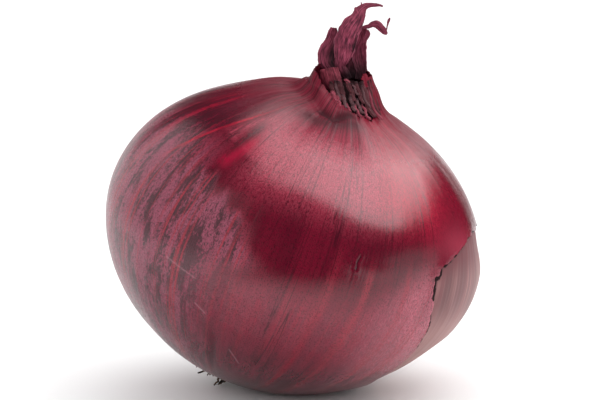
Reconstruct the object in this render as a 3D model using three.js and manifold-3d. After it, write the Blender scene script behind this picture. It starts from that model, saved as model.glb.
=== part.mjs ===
// A red onion as it lies on a table: the bulb with its ribbed neck, the torn papery outer skin round it,
// the withered leaves that stand in the collar of the skin, and the root plate with its dry rootlets.
// Millimetres, +Z up. The origin is on the table, in the flat spot that the onion rests on, under its centre.
import * as THREE from 'three';
import { mergeVertices } from 'three/addons/utils/BufferGeometryUtils.js';
import Module from 'manifold-3d';

const wasm = await Module();
wasm.setup();

const { degToRad, lerp, smoothstep } = THREE.MathUtils;

// Bulb, measured over the outer skin, along and across its own axis
const EQUATOR_RADIUS = 41;
const CROWN_HEIGHT = 32; // from the equator to where the crown would close without a neck
const ROOT_HEIGHT = 34.8; // from the equator to the root end
const CROWN_FULLNESS = 2.06; // exponents of the superellipse: 2 is an ellipse, less is more pointed
const ROOT_FULLNESS = 1.83;
const SKEW = 0.04; // how far the crown is shifted sideways, per mm of height
const LOBES = [
  { count: 2, share: 0.005, phase: 0.6 },
  { count: 3, share: 0.004, phase: 2.1 },
]; // what the bulb is out of round by, as shares of its radius

// How the onion lies
const LEAN_RIGHT = degToRad(18.6);
const LEAN_FORWARD = degToRad(7);
const CENTRE_HEIGHT = 33.8; // of the bulb over the table: 0.7 lower than it would roll, which is the flat spot

// Outer skin
const SKIN_THICKNESS = 0.6;
const SKIN_GAP = 0.3;
const SKIN_BUILD = SKIN_THICKNESS + SKIN_GAP; // from the bulb to the outside of the skin

// Neck
const NECK_FLARE_RADIUS = 14.5; // where the crown turns up into the neck
const NECK_RADIUS = 4.4; // at the top of the collar, without its flap
const NECK_CURVE = [
  { radius: 8.2, rise: 1.6 },
  { radius: 5.9, rise: 3.8 },
]; // what pulls the outline from the flare to the neck, with its rise over the flare
const NECK_STUB_TOP = 36.2; // top of the bulb's own neck, inside the collar
const COLLAR_TOP = 38.6; // top of the skin's collar round the neck
const COLLAR_TRIM = 3; // how much higher the collar is made before its ragged top is cut
const NECK_BEND_START = 28;
const NECK_BEND = { x: -0.022, y: 0.006 }; // sideways shift per mm2 above the start: it turns the neck upright
const NECK_TILT = { from: 31.5, to: 35.5, share: 0.6 }; // where, and by how much, its sections turn with it
const NECK_RIBS = { count: 12, depth: 0.45, from: 30.5, to: 33 };
const COLLAR_FLARE = { azimuth: -2.6, spread: 1.1, reach: 2, from: 30.5, to: 36 }; // the flap off the neck
const SHOULDER = { azimuth: Math.PI, radius: 15, spread: 6.5, height: 1.3 }; // skin gathered at the neck's left

// Root end
const ROOT_PLATE_RADIUS = 4.4;
const ROOT_PLATE_THICKNESS = 1;
const ROOTLETS = { count: 15, radius: 0.55, tip: 0.35, longest: 7.5, shortest: 1.2, droop: 1.1, sunk: 0.6 };
const ROOTLET_RING = { inner: 0.35, outer: 0.8 }; // where on the plate they start, as shares of its radius
const ROOT_FLOOR_GAP = 0.4;

const LEAF_THICKNESS = 0.6;

// Fineness of the round solids
const SIDES = 48;
const ROOT_RINGS = 13;
const CROWN_RINGS = 9;
const NECK_RINGS = 7;
const ROOT_SIDES = 20;
const ROOTLET_FINENESS = { steps: 5, sides: 6 };

const REACH = 100; // of the cutters that run right through the onion

const COLOURS = {
  bulb: 0x8f6064,
  outerSkin: 0x6d1c33,
  dryLeaf: 0x5a1a30,
  roots: 0x3a2a22,
};

// A closed geometry as a solid: shared vertices merged, and the faces that shrank to a line at a pole dropped.
function toSolid(geometry) {
  const bare = new THREE.BufferGeometry();
  bare.setAttribute('position', geometry.getAttribute('position'));
  bare.setIndex(geometry.index);
  const merged = mergeVertices(bare, 1e-4);
  const corners = merged.index.array;
  const triVerts = [];
  for (let i = 0; i < corners.length; i += 3) {
    const [a, b, c] = corners.slice(i, i + 3);
    if (a !== b && b !== c && c !== a) triVerts.push(a, b, c);
  }
  return new wasm.Manifold(
    new wasm.Mesh({
      numProp: 3,
      vertProperties: merged.getAttribute('position').array,
      triVerts: new Uint32Array(triVerts),
    }),
  );
}

function toGeometry(solid) {
  const mesh = solid.getMesh();
  const geometry = new THREE.BufferGeometry();
  geometry.setAttribute('position', new THREE.BufferAttribute(mesh.vertProperties, 3));
  geometry.setIndex(new THREE.BufferAttribute(mesh.triVerts, 1));
  geometry.computeVertexNormals();
  return geometry;
}

function namedMesh(name, solid, colour, roughness) {
  const material = new THREE.MeshStandardMaterial({ color: colour, roughness, metalness: 0 });
  const mesh = new THREE.Mesh(toGeometry(solid), material);
  mesh.name = name;
  return mesh;
}

// Moves every vertex of a geometry by a function of its position.
function reshape(geometry, move) {
  const position = geometry.getAttribute('position');
  const point = new THREE.Vector3();
  for (let i = 0; i < position.count; i += 1) {
    move(point.fromBufferAttribute(position, i));
    position.setXYZ(i, point.x, point.y, point.z);
  }
  return geometry;
}

// A point of a superellipse with the given half axes, at an angle from its equator.
function superellipse(radius, height, fullness, angle) {
  const power = 2 / fullness;
  return new THREE.Vector2(radius * Math.cos(angle) ** power, height * Math.sin(angle) ** power);
}

// Half outline of the skinned bulb, from the root pole to the top of the neck, as (radius, height).
function bulbOutline(neckTop) {
  const points = [];
  for (let i = 0; i < ROOT_RINGS; i += 1) {
    const angle = (Math.PI / 2) * (1 - i / ROOT_RINGS);
    const point = superellipse(EQUATOR_RADIUS, ROOT_HEIGHT, ROOT_FULLNESS, angle);
    points.push(new THREE.Vector2(i === 0 ? 0 : point.x, -point.y));
  }
  const flareAngle = Math.acos((NECK_FLARE_RADIUS / EQUATOR_RADIUS) ** (CROWN_FULLNESS / 2));
  for (let i = 0; i < CROWN_RINGS; i += 1) {
    points.push(superellipse(EQUATOR_RADIUS, CROWN_HEIGHT, CROWN_FULLNESS, (flareAngle * i) / CROWN_RINGS));
  }
  const flare = superellipse(EQUATOR_RADIUS, CROWN_HEIGHT, CROWN_FULLNESS, flareAngle);
  const neck = new THREE.CubicBezierCurve(
    flare,
    ...NECK_CURVE.map(({ radius, rise }) => new THREE.Vector2(radius, flare.y + rise)),
    new THREE.Vector2(NECK_RADIUS, neckTop),
  );
  return points.concat(neck.getPoints(NECK_RINGS));
}

// The outline moved outwards by a distance, or inwards where it is negative, and closed on the axis.
function offsetOutline(points, distance) {
  const moved = points.map((point, i) => {
    const before = points[Math.max(i - 1, 0)];
    const after = points[Math.min(i + 1, points.length - 1)];
    const along = after.clone().sub(before).normalize();
    const radius = point.x === 0 ? 0 : point.x + along.y * distance;
    return new THREE.Vector2(radius, point.y - along.x * distance);
  });
  moved.push(new THREE.Vector2(0, moved.at(-1).y));
  return moved;
}

// Centre of the neck or bulb at a height, in the bulb's frame.
function axisAt(height) {
  const above = Math.max(0, height - NECK_BEND_START) ** 2;
  return new THREE.Vector2(SKEW * height + NECK_BEND.x * above, NECK_BEND.y * above);
}

// How far a section of the neck is tipped, as its rise per mm along X and Y.
function tiltAt(height) {
  const turned = smoothstep(height, NECK_TILT.from, NECK_TILT.to);
  const along = -2 * NECK_TILT.share * turned * Math.max(0, height - NECK_BEND_START);
  return new THREE.Vector2(NECK_BEND.x * along, NECK_BEND.y * along);
}

// From 1 at the middle of a stretch of azimuth to 0 at its ends
function swell(azimuth, middle, spread) {
  const away = Math.abs(Math.atan2(Math.sin(azimuth - middle), Math.cos(azimuth - middle))) / spread;
  return away < 1 ? Math.cos((away * Math.PI) / 2) ** 2 : 0;
}

// Turns a round solid into a grown one: lobes, gathered shoulder, collar flap, skew and bent neck.
function grow(point, flapReach) {
  const azimuth = Math.atan2(point.y, point.x);
  let radius = Math.hypot(point.x, point.y);
  for (const lobe of LOBES) radius *= 1 + lobe.share * Math.cos(lobe.count * azimuth + lobe.phase);
  const rise = smoothstep(point.z, COLLAR_FLARE.from, COLLAR_FLARE.to);
  if (radius > 0) radius += flapReach * rise * swell(azimuth, COLLAR_FLARE.azimuth, COLLAR_FLARE.spread);
  const onShoulder = point.z > 0 ? Math.exp(-(((radius - SHOULDER.radius) / SHOULDER.spread) ** 2)) : 0;
  const gathered = SHOULDER.height * onShoulder * swell(azimuth, SHOULDER.azimuth, Math.PI);
  const axis = axisAt(point.z);
  const tilt = tiltAt(point.z);
  const x = radius * Math.cos(azimuth);
  const y = radius * Math.sin(azimuth);
  point.set(x + axis.x, y + axis.y, point.z + gathered + tilt.x * x + tilt.y * y);
}

// The solid of revolution inside the bulb's outline, moved outwards by a distance, with the onion's growth.
function roundSolid({ distance, neckTop, flapReach = 0, ribs = 0 }) {
  const lathe = new THREE.LatheGeometry(offsetOutline(bulbOutline(neckTop), distance), SIDES);
  lathe.rotateX(Math.PI / 2);
  return toSolid(
    reshape(lathe, (point) => {
      const azimuth = Math.atan2(point.y, point.x);
      const onNeck = smoothstep(point.z, NECK_RIBS.from, NECK_RIBS.to);
      const furrow = ribs * onNeck * (0.5 - 0.5 * Math.cos(NECK_RIBS.count * azimuth));
      const radius = Math.hypot(point.x, point.y);
      if (radius > furrow) point.multiply(new THREE.Vector3(1 - furrow / radius, 1 - furrow / radius, 1));
      grow(point, flapReach);
    }),
  );
}

// The bulb's frame: where its centre is over the table, and how it leans.
const bulbFrame = new THREE.Group();
bulbFrame.position.z = CENTRE_HEIGHT;
bulbFrame.rotation.set(LEAN_FORWARD, LEAN_RIGHT, 0);
bulbFrame.updateMatrixWorld();

// All that lies below a height over the table, in the bulb's frame.
function below(height) {
  const slab = new THREE.BoxGeometry(2 * REACH, 2 * REACH, REACH).translate(0, 0, height - REACH / 2);
  return toSolid(slab.applyMatrix4(bulbFrame.matrixWorld.clone().invert()));
}

// A cutter for a patch of the skin: its outline is given as (azimuth in degrees, height), and it runs outwards.
function patchCutter(outline) {
  const nearest = 12;
  const depth = 80; // far enough out for its flat end to stay clear of the round skin
  const corners = outline.map(([azimuth, height]) => new THREE.Vector2(degToRad(azimuth), height));
  const prism = new THREE.ExtrudeGeometry(new THREE.Shape(corners), { depth, bevelEnabled: false });
  return toSolid(
    reshape(prism, (point) => {
      const radius = nearest + point.z;
      point.set(radius * Math.cos(point.x), radius * Math.sin(point.x), point.y);
    }),
  );
}

// A cutter along Y: its outline is given as (x, height), as seen from the front.
function frontCutter(outline, front, back) {
  const shape = new THREE.Shape(outline.map(([x, height]) => new THREE.Vector2(x, height)));
  const prism = new THREE.ExtrudeGeometry(shape, { depth: back - front, bevelEnabled: false });
  return toSolid(prism.rotateX(Math.PI / 2).translate(0, back, 0));
}

function bulbSolid() {
  const whole = roundSolid({ distance: -SKIN_BUILD, neckTop: NECK_STUB_TOP, ribs: NECK_RIBS.depth });
  return whole.subtract(below(SKIN_BUILD));
}

// Where the outer skin is torn away, on the right flank. Its front edge is the one that shows.
const TEAR = [
  [-4, 14.6], [-19, 14.8], [-28, 14.1], [-36, 12.1], [-41, 10.8], [-43.2, 8], [-40.8, 3.7], [-38.6, 0.9],
  [-37, -4.4], [-35, -9.4], [-34.6, -15.7], [-30, -21], [-16, -25], [12, -24], [34, -20], [44, -9],
  [47, 1], [42, 9], [28, 13.5], [12, 13.2],
];
// The ragged top of the collar, and the gap in its front that bares the ribbed neck
const RAGGED_TOP = [
  [-14, 60], [-14, 34.9], [-7.6, 36.8], [-6.2, 37.8], [-4.6, 37.4], [-3, 38.4], [-1.6, 38], [0.4, 39.2],
  [1.8, 38.8], [3.2, 39.8], [4.6, 39], [14, 41.6], [14, 60],
];
const COLLAR_GAP = [
  [-8, 46], [-7, 38], [-4.5, 35], [-2.6, 33.6], [0.8, 32.3], [2.9, 31.2], [4, 31.8], [4.9, 31.5], [5.8, 32.2],
  [7.2, 31.5], [7.8, 32.2], [6.8, 33.9], [5.2, 35.9], [3.5, 37.7], [2.6, 39], [2.2, 46],
];

const GAP_TO_AXIS = 1.5; // how far before the neck's axis the gap ends

function outerSkinSolid() {
  const neckTop = COLLAR_TOP + COLLAR_TRIM;
  const flapReach = COLLAR_FLARE.reach;
  const outside = roundSolid({ distance: 0, neckTop, flapReach }).subtract(below(0));
  const hollow = roundSolid({ distance: -SKIN_THICKNESS, neckTop, flapReach }).subtract(below(SKIN_THICKNESS));
  const holeRadius = ROOT_PLATE_RADIUS + SKIN_GAP;
  const rootHole = new THREE.CylinderGeometry(holeRadius, holeRadius, ROOT_HEIGHT, ROOT_SIDES);
  rootHole.rotateX(Math.PI / 2).translate(-SKEW * ROOT_HEIGHT, 0, -ROOT_HEIGHT);
  return outside
    .subtract(hollow)
    .subtract(patchCutter(TEAR))
    .subtract(frontCutter(RAGGED_TOP, -REACH, REACH))
    .subtract(frontCutter(COLLAR_GAP, -REACH, axisAt(COLLAR_TOP).y - GAP_TO_AXIS))
    .subtract(toSolid(rootHole));
}

// A tapered, bent rod through a few points.
function rod(points, radius, tipRadius) {
  const { steps, sides } = ROOTLET_FINENESS;
  const curve = new THREE.CatmullRomCurve3(points);
  const section = new THREE.Shape(new THREE.EllipseCurve(0, 0, 1, 1).getPoints(sides).slice(0, sides));
  const unit = new THREE.ExtrudeGeometry(section, { depth: 1, steps, bevelEnabled: false });
  const frames = curve.computeFrenetFrames(steps);
  return toSolid(
    reshape(unit, (point) => {
      const step = Math.round(point.z * steps);
      const size = lerp(radius, tipRadius, point.z);
      const { x, y } = point;
      point.copy(curve.getPointAt(step / steps));
      point.addScaledVector(frames.normals[step], x * size).addScaledVector(frames.binormals[step], y * size);
    }),
  );
}

// The root plate with its rootlets, which lie along the skin: long on the uphill side, short below.
function rootPlateSolid() {
  const goldenTurn = Math.PI * (3 - Math.sqrt(5));
  const centreX = -SKEW * ROOT_HEIGHT;
  const plateTop = -ROOT_HEIGHT + SKIN_BUILD - SKIN_GAP;
  const foot = ROOT_PLATE_RADIUS * ROOTLET_RING.outer;
  const plate = new THREE.CylinderGeometry(ROOT_PLATE_RADIUS, foot, ROOT_PLATE_THICKNESS, ROOT_SIDES);
  plate.rotateX(Math.PI / 2).translate(centreX, 0, plateTop - ROOT_PLATE_THICKNESS / 2);
  let tuft = toSolid(plate);
  for (let i = 0; i < ROOTLETS.count; i += 1) {
    const azimuth = i * goldenTurn;
    const uphill = 0.5 - 0.5 * Math.cos(azimuth + LEAN_FORWARD);
    const uneven = 0.6 + 0.4 * Math.sin(7 * i);
    const length = lerp(ROOTLETS.shortest, ROOTLETS.longest, uphill * uphill * uneven);
    const start = ROOT_PLATE_RADIUS * lerp(ROOTLET_RING.inner, ROOTLET_RING.outer, i / ROOTLETS.count);
    const at = (reach, drop) =>
      new THREE.Vector3(
        centreX + (start + reach) * Math.cos(azimuth),
        (start + reach) * Math.sin(azimuth),
        plateTop - ROOT_PLATE_THICKNESS - drop,
      );
    const bend = at(length / 4, ROOTLETS.droop / 2);
    const tip = at(length, ROOTLETS.droop * (0.4 + uneven));
    tuft = tuft.add(rod([at(0, -ROOTLETS.sunk), bend, tip], ROOTLETS.radius, ROOTLETS.tip));
  }
  return tuft.subtract(below(ROOT_FLOOR_GAP));
}

// A dry leaf: a thin blade along a curve through its stations, from its foot to its tip. A station is the
// place of the blade's middle, its width, and by how many radians it rolls across that width: backwards, or
// forwards if negative.
function blade(stations, { thickness = LEAF_THICKNESS, rows = 14, columns = 8 } = {}) {
  const spine = new THREE.CatmullRomCurve3(stations.map(({ at }) => new THREE.Vector3(...at)));
  const sections = stations.map(({ width, roll }) => new THREE.Vector3(width, roll, 0));
  const section = new THREE.CatmullRomCurve3(sections);
  const towardsFront = new THREE.Vector3(0, -1, 0);
  const face = (side) => {
    const points = [];
    for (let row = 0; row <= rows; row += 1) {
      const middle = spine.getPoint(row / rows);
      const { x: width, y: roll } = section.getPoint(row / rows);
      const tangent = spine.getTangent(row / rows);
      const across = tangent.clone().cross(towardsFront).normalize();
      const front = across.clone().cross(tangent);
      const radius = width / roll;
      const reach = radius + (side * thickness) / 2;
      for (let column = 0; column <= columns; column += 1) {
        const angle = (column / columns - 0.5) * roll;
        const point = middle.clone().addScaledVector(across, reach * Math.sin(angle));
        points.push(point.addScaledVector(front, reach * Math.cos(angle) - radius));
      }
    }
    return points;
  };
  const count = (rows + 1) * (columns + 1);
  const at = (row, column) => row * (columns + 1) + column;
  const faces = [];
  const quad = (a, b, c, d) => faces.push(a, b, c, a, c, d);
  for (let row = 0; row < rows; row += 1) {
    for (let column = 0; column < columns; column += 1) {
      const [a, b, c, d] = [at(row, column), at(row, column + 1), at(row + 1, column + 1), at(row + 1, column)];
      faces.push(a, b, c, a, c, d);
      faces.push(count + c, count + b, count + a, count + d, count + c, count + a);
    }
    quad(at(row, 0), at(row + 1, 0), count + at(row + 1, 0), count + at(row, 0));
    quad(at(row + 1, columns), at(row, columns), count + at(row, columns), count + at(row + 1, columns));
  }
  for (let column = 0; column < columns; column += 1) {
    quad(at(0, column + 1), at(0, column), count + at(0, column), count + at(0, column + 1));
    quad(at(rows, column), at(rows, column + 1), count + at(rows, column + 1), count + at(rows, column));
  }
  const geometry = new THREE.BufferGeometry().setFromPoints([...face(1), ...face(-1)]);
  geometry.setIndex(faces);
  return toSolid(geometry);
}

// The tall leaf: a rolled blade that narrows into a hook, with a torn ribbon off its right edge
function tallLeafSolid() {
  const leaf = blade(
    [
      { at: [0, -0.9, -2.4], width: 2.4, roll: 2.4 },
      { at: [-0.8, -1.5, 0.9], width: 4.2, roll: 3 },
      { at: [-0.5, -2, 3.5], width: 7.2, roll: 3.4 },
      { at: [0.8, -1.7, 6.5], width: 8.2, roll: 3.2 },
      { at: [2.4, -1, 9.2], width: 5.6, roll: 2.6 },
      { at: [3.4, -0.4, 11.2], width: 3.6, roll: 2.2 },
      { at: [4, 0, 12.8], width: 2.4, roll: 1.7 },
      { at: [5, 0.2, 13.6], width: 1.2, roll: 1 },
      { at: [6.6, 0.5, 13.8], width: 0.9, roll: 0.8 },
      { at: [8.4, 0.8, 13.4], width: 0.6, roll: 0.6 },
    ],
    { rows: 27 },
  );
  const ribbon = blade(
    [
      { at: [3.2, 0.1, 8.4], width: 1, roll: 0.6 },
      { at: [4.8, -0.1, 9], width: 1.1, roll: 0.6 },
      { at: [5.9, 0, 9.5], width: 1.4, roll: 0.6 },
      { at: [7, 0.2, 9.4], width: 1.4, roll: 0.6 },
      { at: [8, 0.3, 8.6], width: 1.2, roll: 0.6 },
      { at: [9, 0.5, 7.6], width: 0.9, roll: 0.6 },
    ],
    { rows: 10, columns: 3 },
  );
  const fork = blade(
    [
      { at: [8.9, 0.5, 7.8], width: 0.6, roll: 0.4 },
      { at: [9, 0.6, 9.1], width: 0.5, roll: 0.4 },
      { at: [9.5, 0.8, 10.6], width: 0.8, roll: 0.4 },
    ],
    { rows: 4, columns: 2 },
  );
  return leaf.add(ribbon).add(fork);
}

function leftLeafSolid() {
  return blade([
    { at: [-1.9, 0.9, -1.9], width: 2, roll: 1.4 },
    { at: [-2.4, 1.1, 0.8], width: 2.8, roll: 1.5 },
    { at: [-3.5, 1.8, 3.4], width: 4.4, roll: 1.8 },
    { at: [-2.9, 1.9, 6], width: 4, roll: 1.8 },
    { at: [-2.4, 1.7, 7.7], width: 2.9, roll: 1.5 },
    { at: [-2.1, 1.6, 8.6], width: 1.2, roll: 1.2 },
  ]);
}

function rightLeafSolid() {
  return blade([
    { at: [1.5, 1.8, -2.7], width: 2.4, roll: -1.5 },
    { at: [2, 2.4, 0.8], width: 3.4, roll: -1.7 },
    { at: [2.4, 2.8, 3.4], width: 4.2, roll: -1.8 },
    { at: [3, 2.7, 5.6], width: 3.4, roll: -1.6 },
    { at: [4.2, 2.3, 7.2], width: 1.6, roll: -1.2 },
  ]);
}

bulbFrame.add(
  namedMesh('bulb', bulbSolid(), COLOURS.bulb, 0.45),
  namedMesh('outer_skin', outerSkinSolid(), COLOURS.outerSkin, 0.35),
  namedMesh('root_plate', rootPlateSolid(), COLOURS.roots, 0.9),
);

// The leaves are placed upright, from the middle of the collar's mouth.
const neckFrame = new THREE.Group();
const mouth = axisAt(COLLAR_TOP);
neckFrame.position.copy(bulbFrame.localToWorld(new THREE.Vector3(mouth.x, mouth.y, COLLAR_TOP)));
neckFrame.add(
  namedMesh('dry_leaf_tall', tallLeafSolid(), COLOURS.dryLeaf, 0.7),
  namedMesh('dry_leaf_left', leftLeafSolid(), COLOURS.dryLeaf, 0.7),
  namedMesh('dry_leaf_right', rightLeafSolid(), COLOURS.dryLeaf, 0.7),
);

const onion = new THREE.Group();
onion.add(bulbFrame, neckFrame);

export default onion;
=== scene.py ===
"""A red onion with papery skin, bare inner layer, dry leaves and roots, in a white studio.

Lengths in the dataclasses are in millimetres and angles in degrees, unless a field says otherwise.
"""

import logging
import math
from collections.abc import Sequence
from dataclasses import dataclass, replace
from enum import Enum

import bpy
import numpy as np
from mathutils import Matrix, Vector
from numpy.typing import ArrayLike, NDArray


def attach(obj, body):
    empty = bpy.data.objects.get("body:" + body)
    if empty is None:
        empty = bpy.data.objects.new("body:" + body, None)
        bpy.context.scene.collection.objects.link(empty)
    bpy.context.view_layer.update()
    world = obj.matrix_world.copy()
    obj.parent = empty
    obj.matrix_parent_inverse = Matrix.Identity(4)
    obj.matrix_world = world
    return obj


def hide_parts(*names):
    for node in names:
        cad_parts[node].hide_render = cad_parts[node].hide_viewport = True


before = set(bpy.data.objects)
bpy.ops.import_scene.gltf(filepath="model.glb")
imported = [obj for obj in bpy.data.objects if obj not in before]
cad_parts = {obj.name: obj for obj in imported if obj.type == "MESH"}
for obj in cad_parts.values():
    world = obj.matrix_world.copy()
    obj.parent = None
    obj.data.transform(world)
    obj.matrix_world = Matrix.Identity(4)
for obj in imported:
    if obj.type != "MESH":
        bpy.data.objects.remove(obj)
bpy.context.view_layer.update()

MM = 0.001
BODY = "root"
FULL_TURN = 2.0 * math.pi
SHOULDER = 2.05  # way along the growth, in equator radii, where leaning stripes cross their azimuth

Piece = bpy.types.Object
Socket = bpy.types.NodeSocket
Points = NDArray[np.float64]
Values = NDArray[np.float64]
Colour = tuple[float, float, float]
Station = tuple[float, float, float, float, float]
Span = tuple[float, float]
Corner = tuple[float, float]
Place = tuple[float, float, float]
FlatLine = tuple[Corner, ...]
Line = tuple[Place, ...]

log = logging.getLogger("onion")


class Slot(Enum):
    """The record's material slots."""

    INNER_LAYER = "inner_layer"
    OUTER_SKIN = "outer_skin"
    ROOTS = "roots"
    DRY_LEAF = "dry_leaf"


class Trait(Enum):
    """The attributes that the finishes read from the meshes."""

    GROWTH = "growth"
    WEAR = "wear"
    TONE = "tone"
    MOTTLE = "mottle"
    SHEEN = "sheen"
    BLADE = "blade"


def srgb(red: int, green: int, blue: int) -> Colour:
    """Turn a screen colour of 0 to 255 into linear light."""
    levels = (channel / 255.0 for channel in (red, green, blue))
    return tuple(v / 12.92 if v <= 0.04045 else ((v + 0.055) / 1.055) ** 2.4 for v in levels)


def ease(value: Values, low: float, high: float) -> Values:
    """Rise smoothly from 0 at low to 1 at high."""
    share = np.clip((value - low) / (high - low), 0.0, 1.0)
    return share * share * (3.0 - 2.0 * share)


def fall(value: Values, low: float, high: float) -> Values:
    """Fall smoothly from 1 at low to 0 at high."""
    return 1.0 - ease(value, low, high)


def spot(away: Values, reach: float) -> Values:
    """Fade from 1 at a place to next to nothing at twice its reach."""
    return np.exp(-((away / reach) ** 2))


def turn_between(azimuth: Values, middle: float) -> Values:
    """Give the signed angle from middle to each azimuth, in radians."""
    return (azimuth - middle + math.pi) % FULL_TURN - math.pi


def swell(azimuth: Values, middle: float, spread: float) -> Values:
    """Swell from 0 to 1 and back around one azimuth, in radians."""
    away = np.abs(turn_between(azimuth, middle))
    return np.where(away < spread, np.cos(away / spread * math.pi / 2.0) ** 2, 0.0)


def wobble(along: Values, seed: int, pitch: float, waves: int = 6) -> Values:
    """Add up sine waves of mixed pitch into an uneven line between about -1 and 1.

    Args:
        along: Places on the line.
        seed: Seed of the waves' pitches and phases.
        pitch: Turns of the longest wave for one unit of along.
        waves: Number of waves.

    Returns:
        The line's height at each place.
    """
    dice = np.random.default_rng(seed)
    total = np.zeros_like(along)
    weight = 0.0
    for step in range(1, waves + 1):
        strength = 1.0 / step**0.6
        turns = pitch * step * dice.uniform(0.8, 1.3)
        total = total + strength * np.sin(FULL_TURN * (turns * along + dice.random()))
        weight += strength
    return total / weight * 1.7


def ripple(azimuth: Values, seed: int, lowest: int, highest: int) -> Values:
    """Add up whole waves around the onion, so that the ring closes.

    Args:
        azimuth: Places on the ring, in radians.
        seed: Seed of the waves' phases and strengths.
        lowest: Fewest waves around the ring.
        highest: Most waves around the ring.

    Returns:
        The ring's height at each place, between about -1 and 1.
    """
    dice = np.random.default_rng(seed)
    total = np.zeros_like(azimuth)
    for count in range(lowest, highest + 1):
        total = total + dice.uniform(0.3, 1.0) * np.cos(count * azimuth + dice.uniform(0.0, FULL_TURN))
    return total / math.sqrt(highest - lowest + 1)


@dataclass(frozen=True)
class Ripples:
    """Uneven waves around the onion, with the fewest and the most that a ring holds."""

    depth: float
    seed: int
    fewest: int
    most: int

    def at(self, azimuth: Values) -> Values:
        """Give the ripples' height at each azimuth."""
        return self.depth * ripple(azimuth, self.seed, self.fewest, self.most)


@dataclass(frozen=True)
class Wobbles:
    """Uneven waves along a line, with the turns of the longest one for a unit of its length."""

    depth: float
    seed: int
    pitch: float

    def at(self, along: Values, number: int = 0) -> Values:
        """Give the line's height at each place, with waves of its own for each number."""
        return self.depth * wobble(along, self.seed + number, self.pitch)


def inside(points: Points, outline: Points) -> NDArray[np.bool_]:
    """Tell which flat points lie inside a closed outline.

    Args:
        points: Flat points.
        outline: Corners of the outline.

    Returns:
        True for each point inside.
    """
    crossings = np.zeros(len(points), dtype=bool)
    x, y = points[:, 0], points[:, 1]
    for (ax, ay), (bx, by) in zip(outline, np.roll(outline, -1, axis=0)):
        if ay == by:
            continue
        spans = (ay > y) != (by > y)
        crossings ^= spans & (x < ax + (y - ay) / (by - ay) * (bx - ax))
    return crossings


def nearest_on_line(points: Points, line: Points) -> tuple[Points, Values]:
    """Find the nearest place on a line of corners.

    Args:
        points: Points in two or three directions.
        line: The line's corners, in order.

    Returns:
        The nearest places and how far they are.
    """
    best = np.full(len(points), np.inf)
    place = np.array(points, dtype=float)
    for start, end in zip(line[:-1], line[1:]):
        run = end - start
        share = np.clip((points - start) @ run / (run @ run), 0.0, 1.0)
        near = start + share[:, None] * run
        away = np.linalg.norm(points - near, axis=1)
        closer = away < best
        best[closer] = away[closer]
        place[closer] = near[closer]
    return place, best


def away_from(points: Points, line: ArrayLike) -> Values:
    """Give how far points are from a line of corners."""
    return nearest_on_line(points, np.array(line, dtype=float))[1]


def smooth_path(corners: Points, at: Values) -> Points:
    """Run a smooth curve through corners.

    Args:
        corners: One row of values for each corner, the first three its place.
        at: Shares of the way along, from 0 to 1.

    Returns:
        One row of values for each share.
    """
    legs = np.linalg.norm(np.diff(corners[:, :3], axis=0), axis=1)
    knots = np.concatenate(([0.0], np.cumsum(legs))) / legs.sum()
    slopes = np.gradient(corners, knots, axis=0)
    leg = np.clip(np.searchsorted(knots, at, side="right") - 1, 0, len(knots) - 2)
    width = (knots[leg + 1] - knots[leg])[:, None]
    t = (at - knots[leg])[:, None] / width
    start = (1.0 + 2.0 * t) * (1.0 - t) ** 2 * corners[leg] + t * (1.0 - t) ** 2 * width * slopes[leg]
    end = t * t * (3.0 - 2.0 * t) * corners[leg + 1] + t * t * (t - 1.0) * width * slopes[leg + 1]
    return start + end


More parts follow.
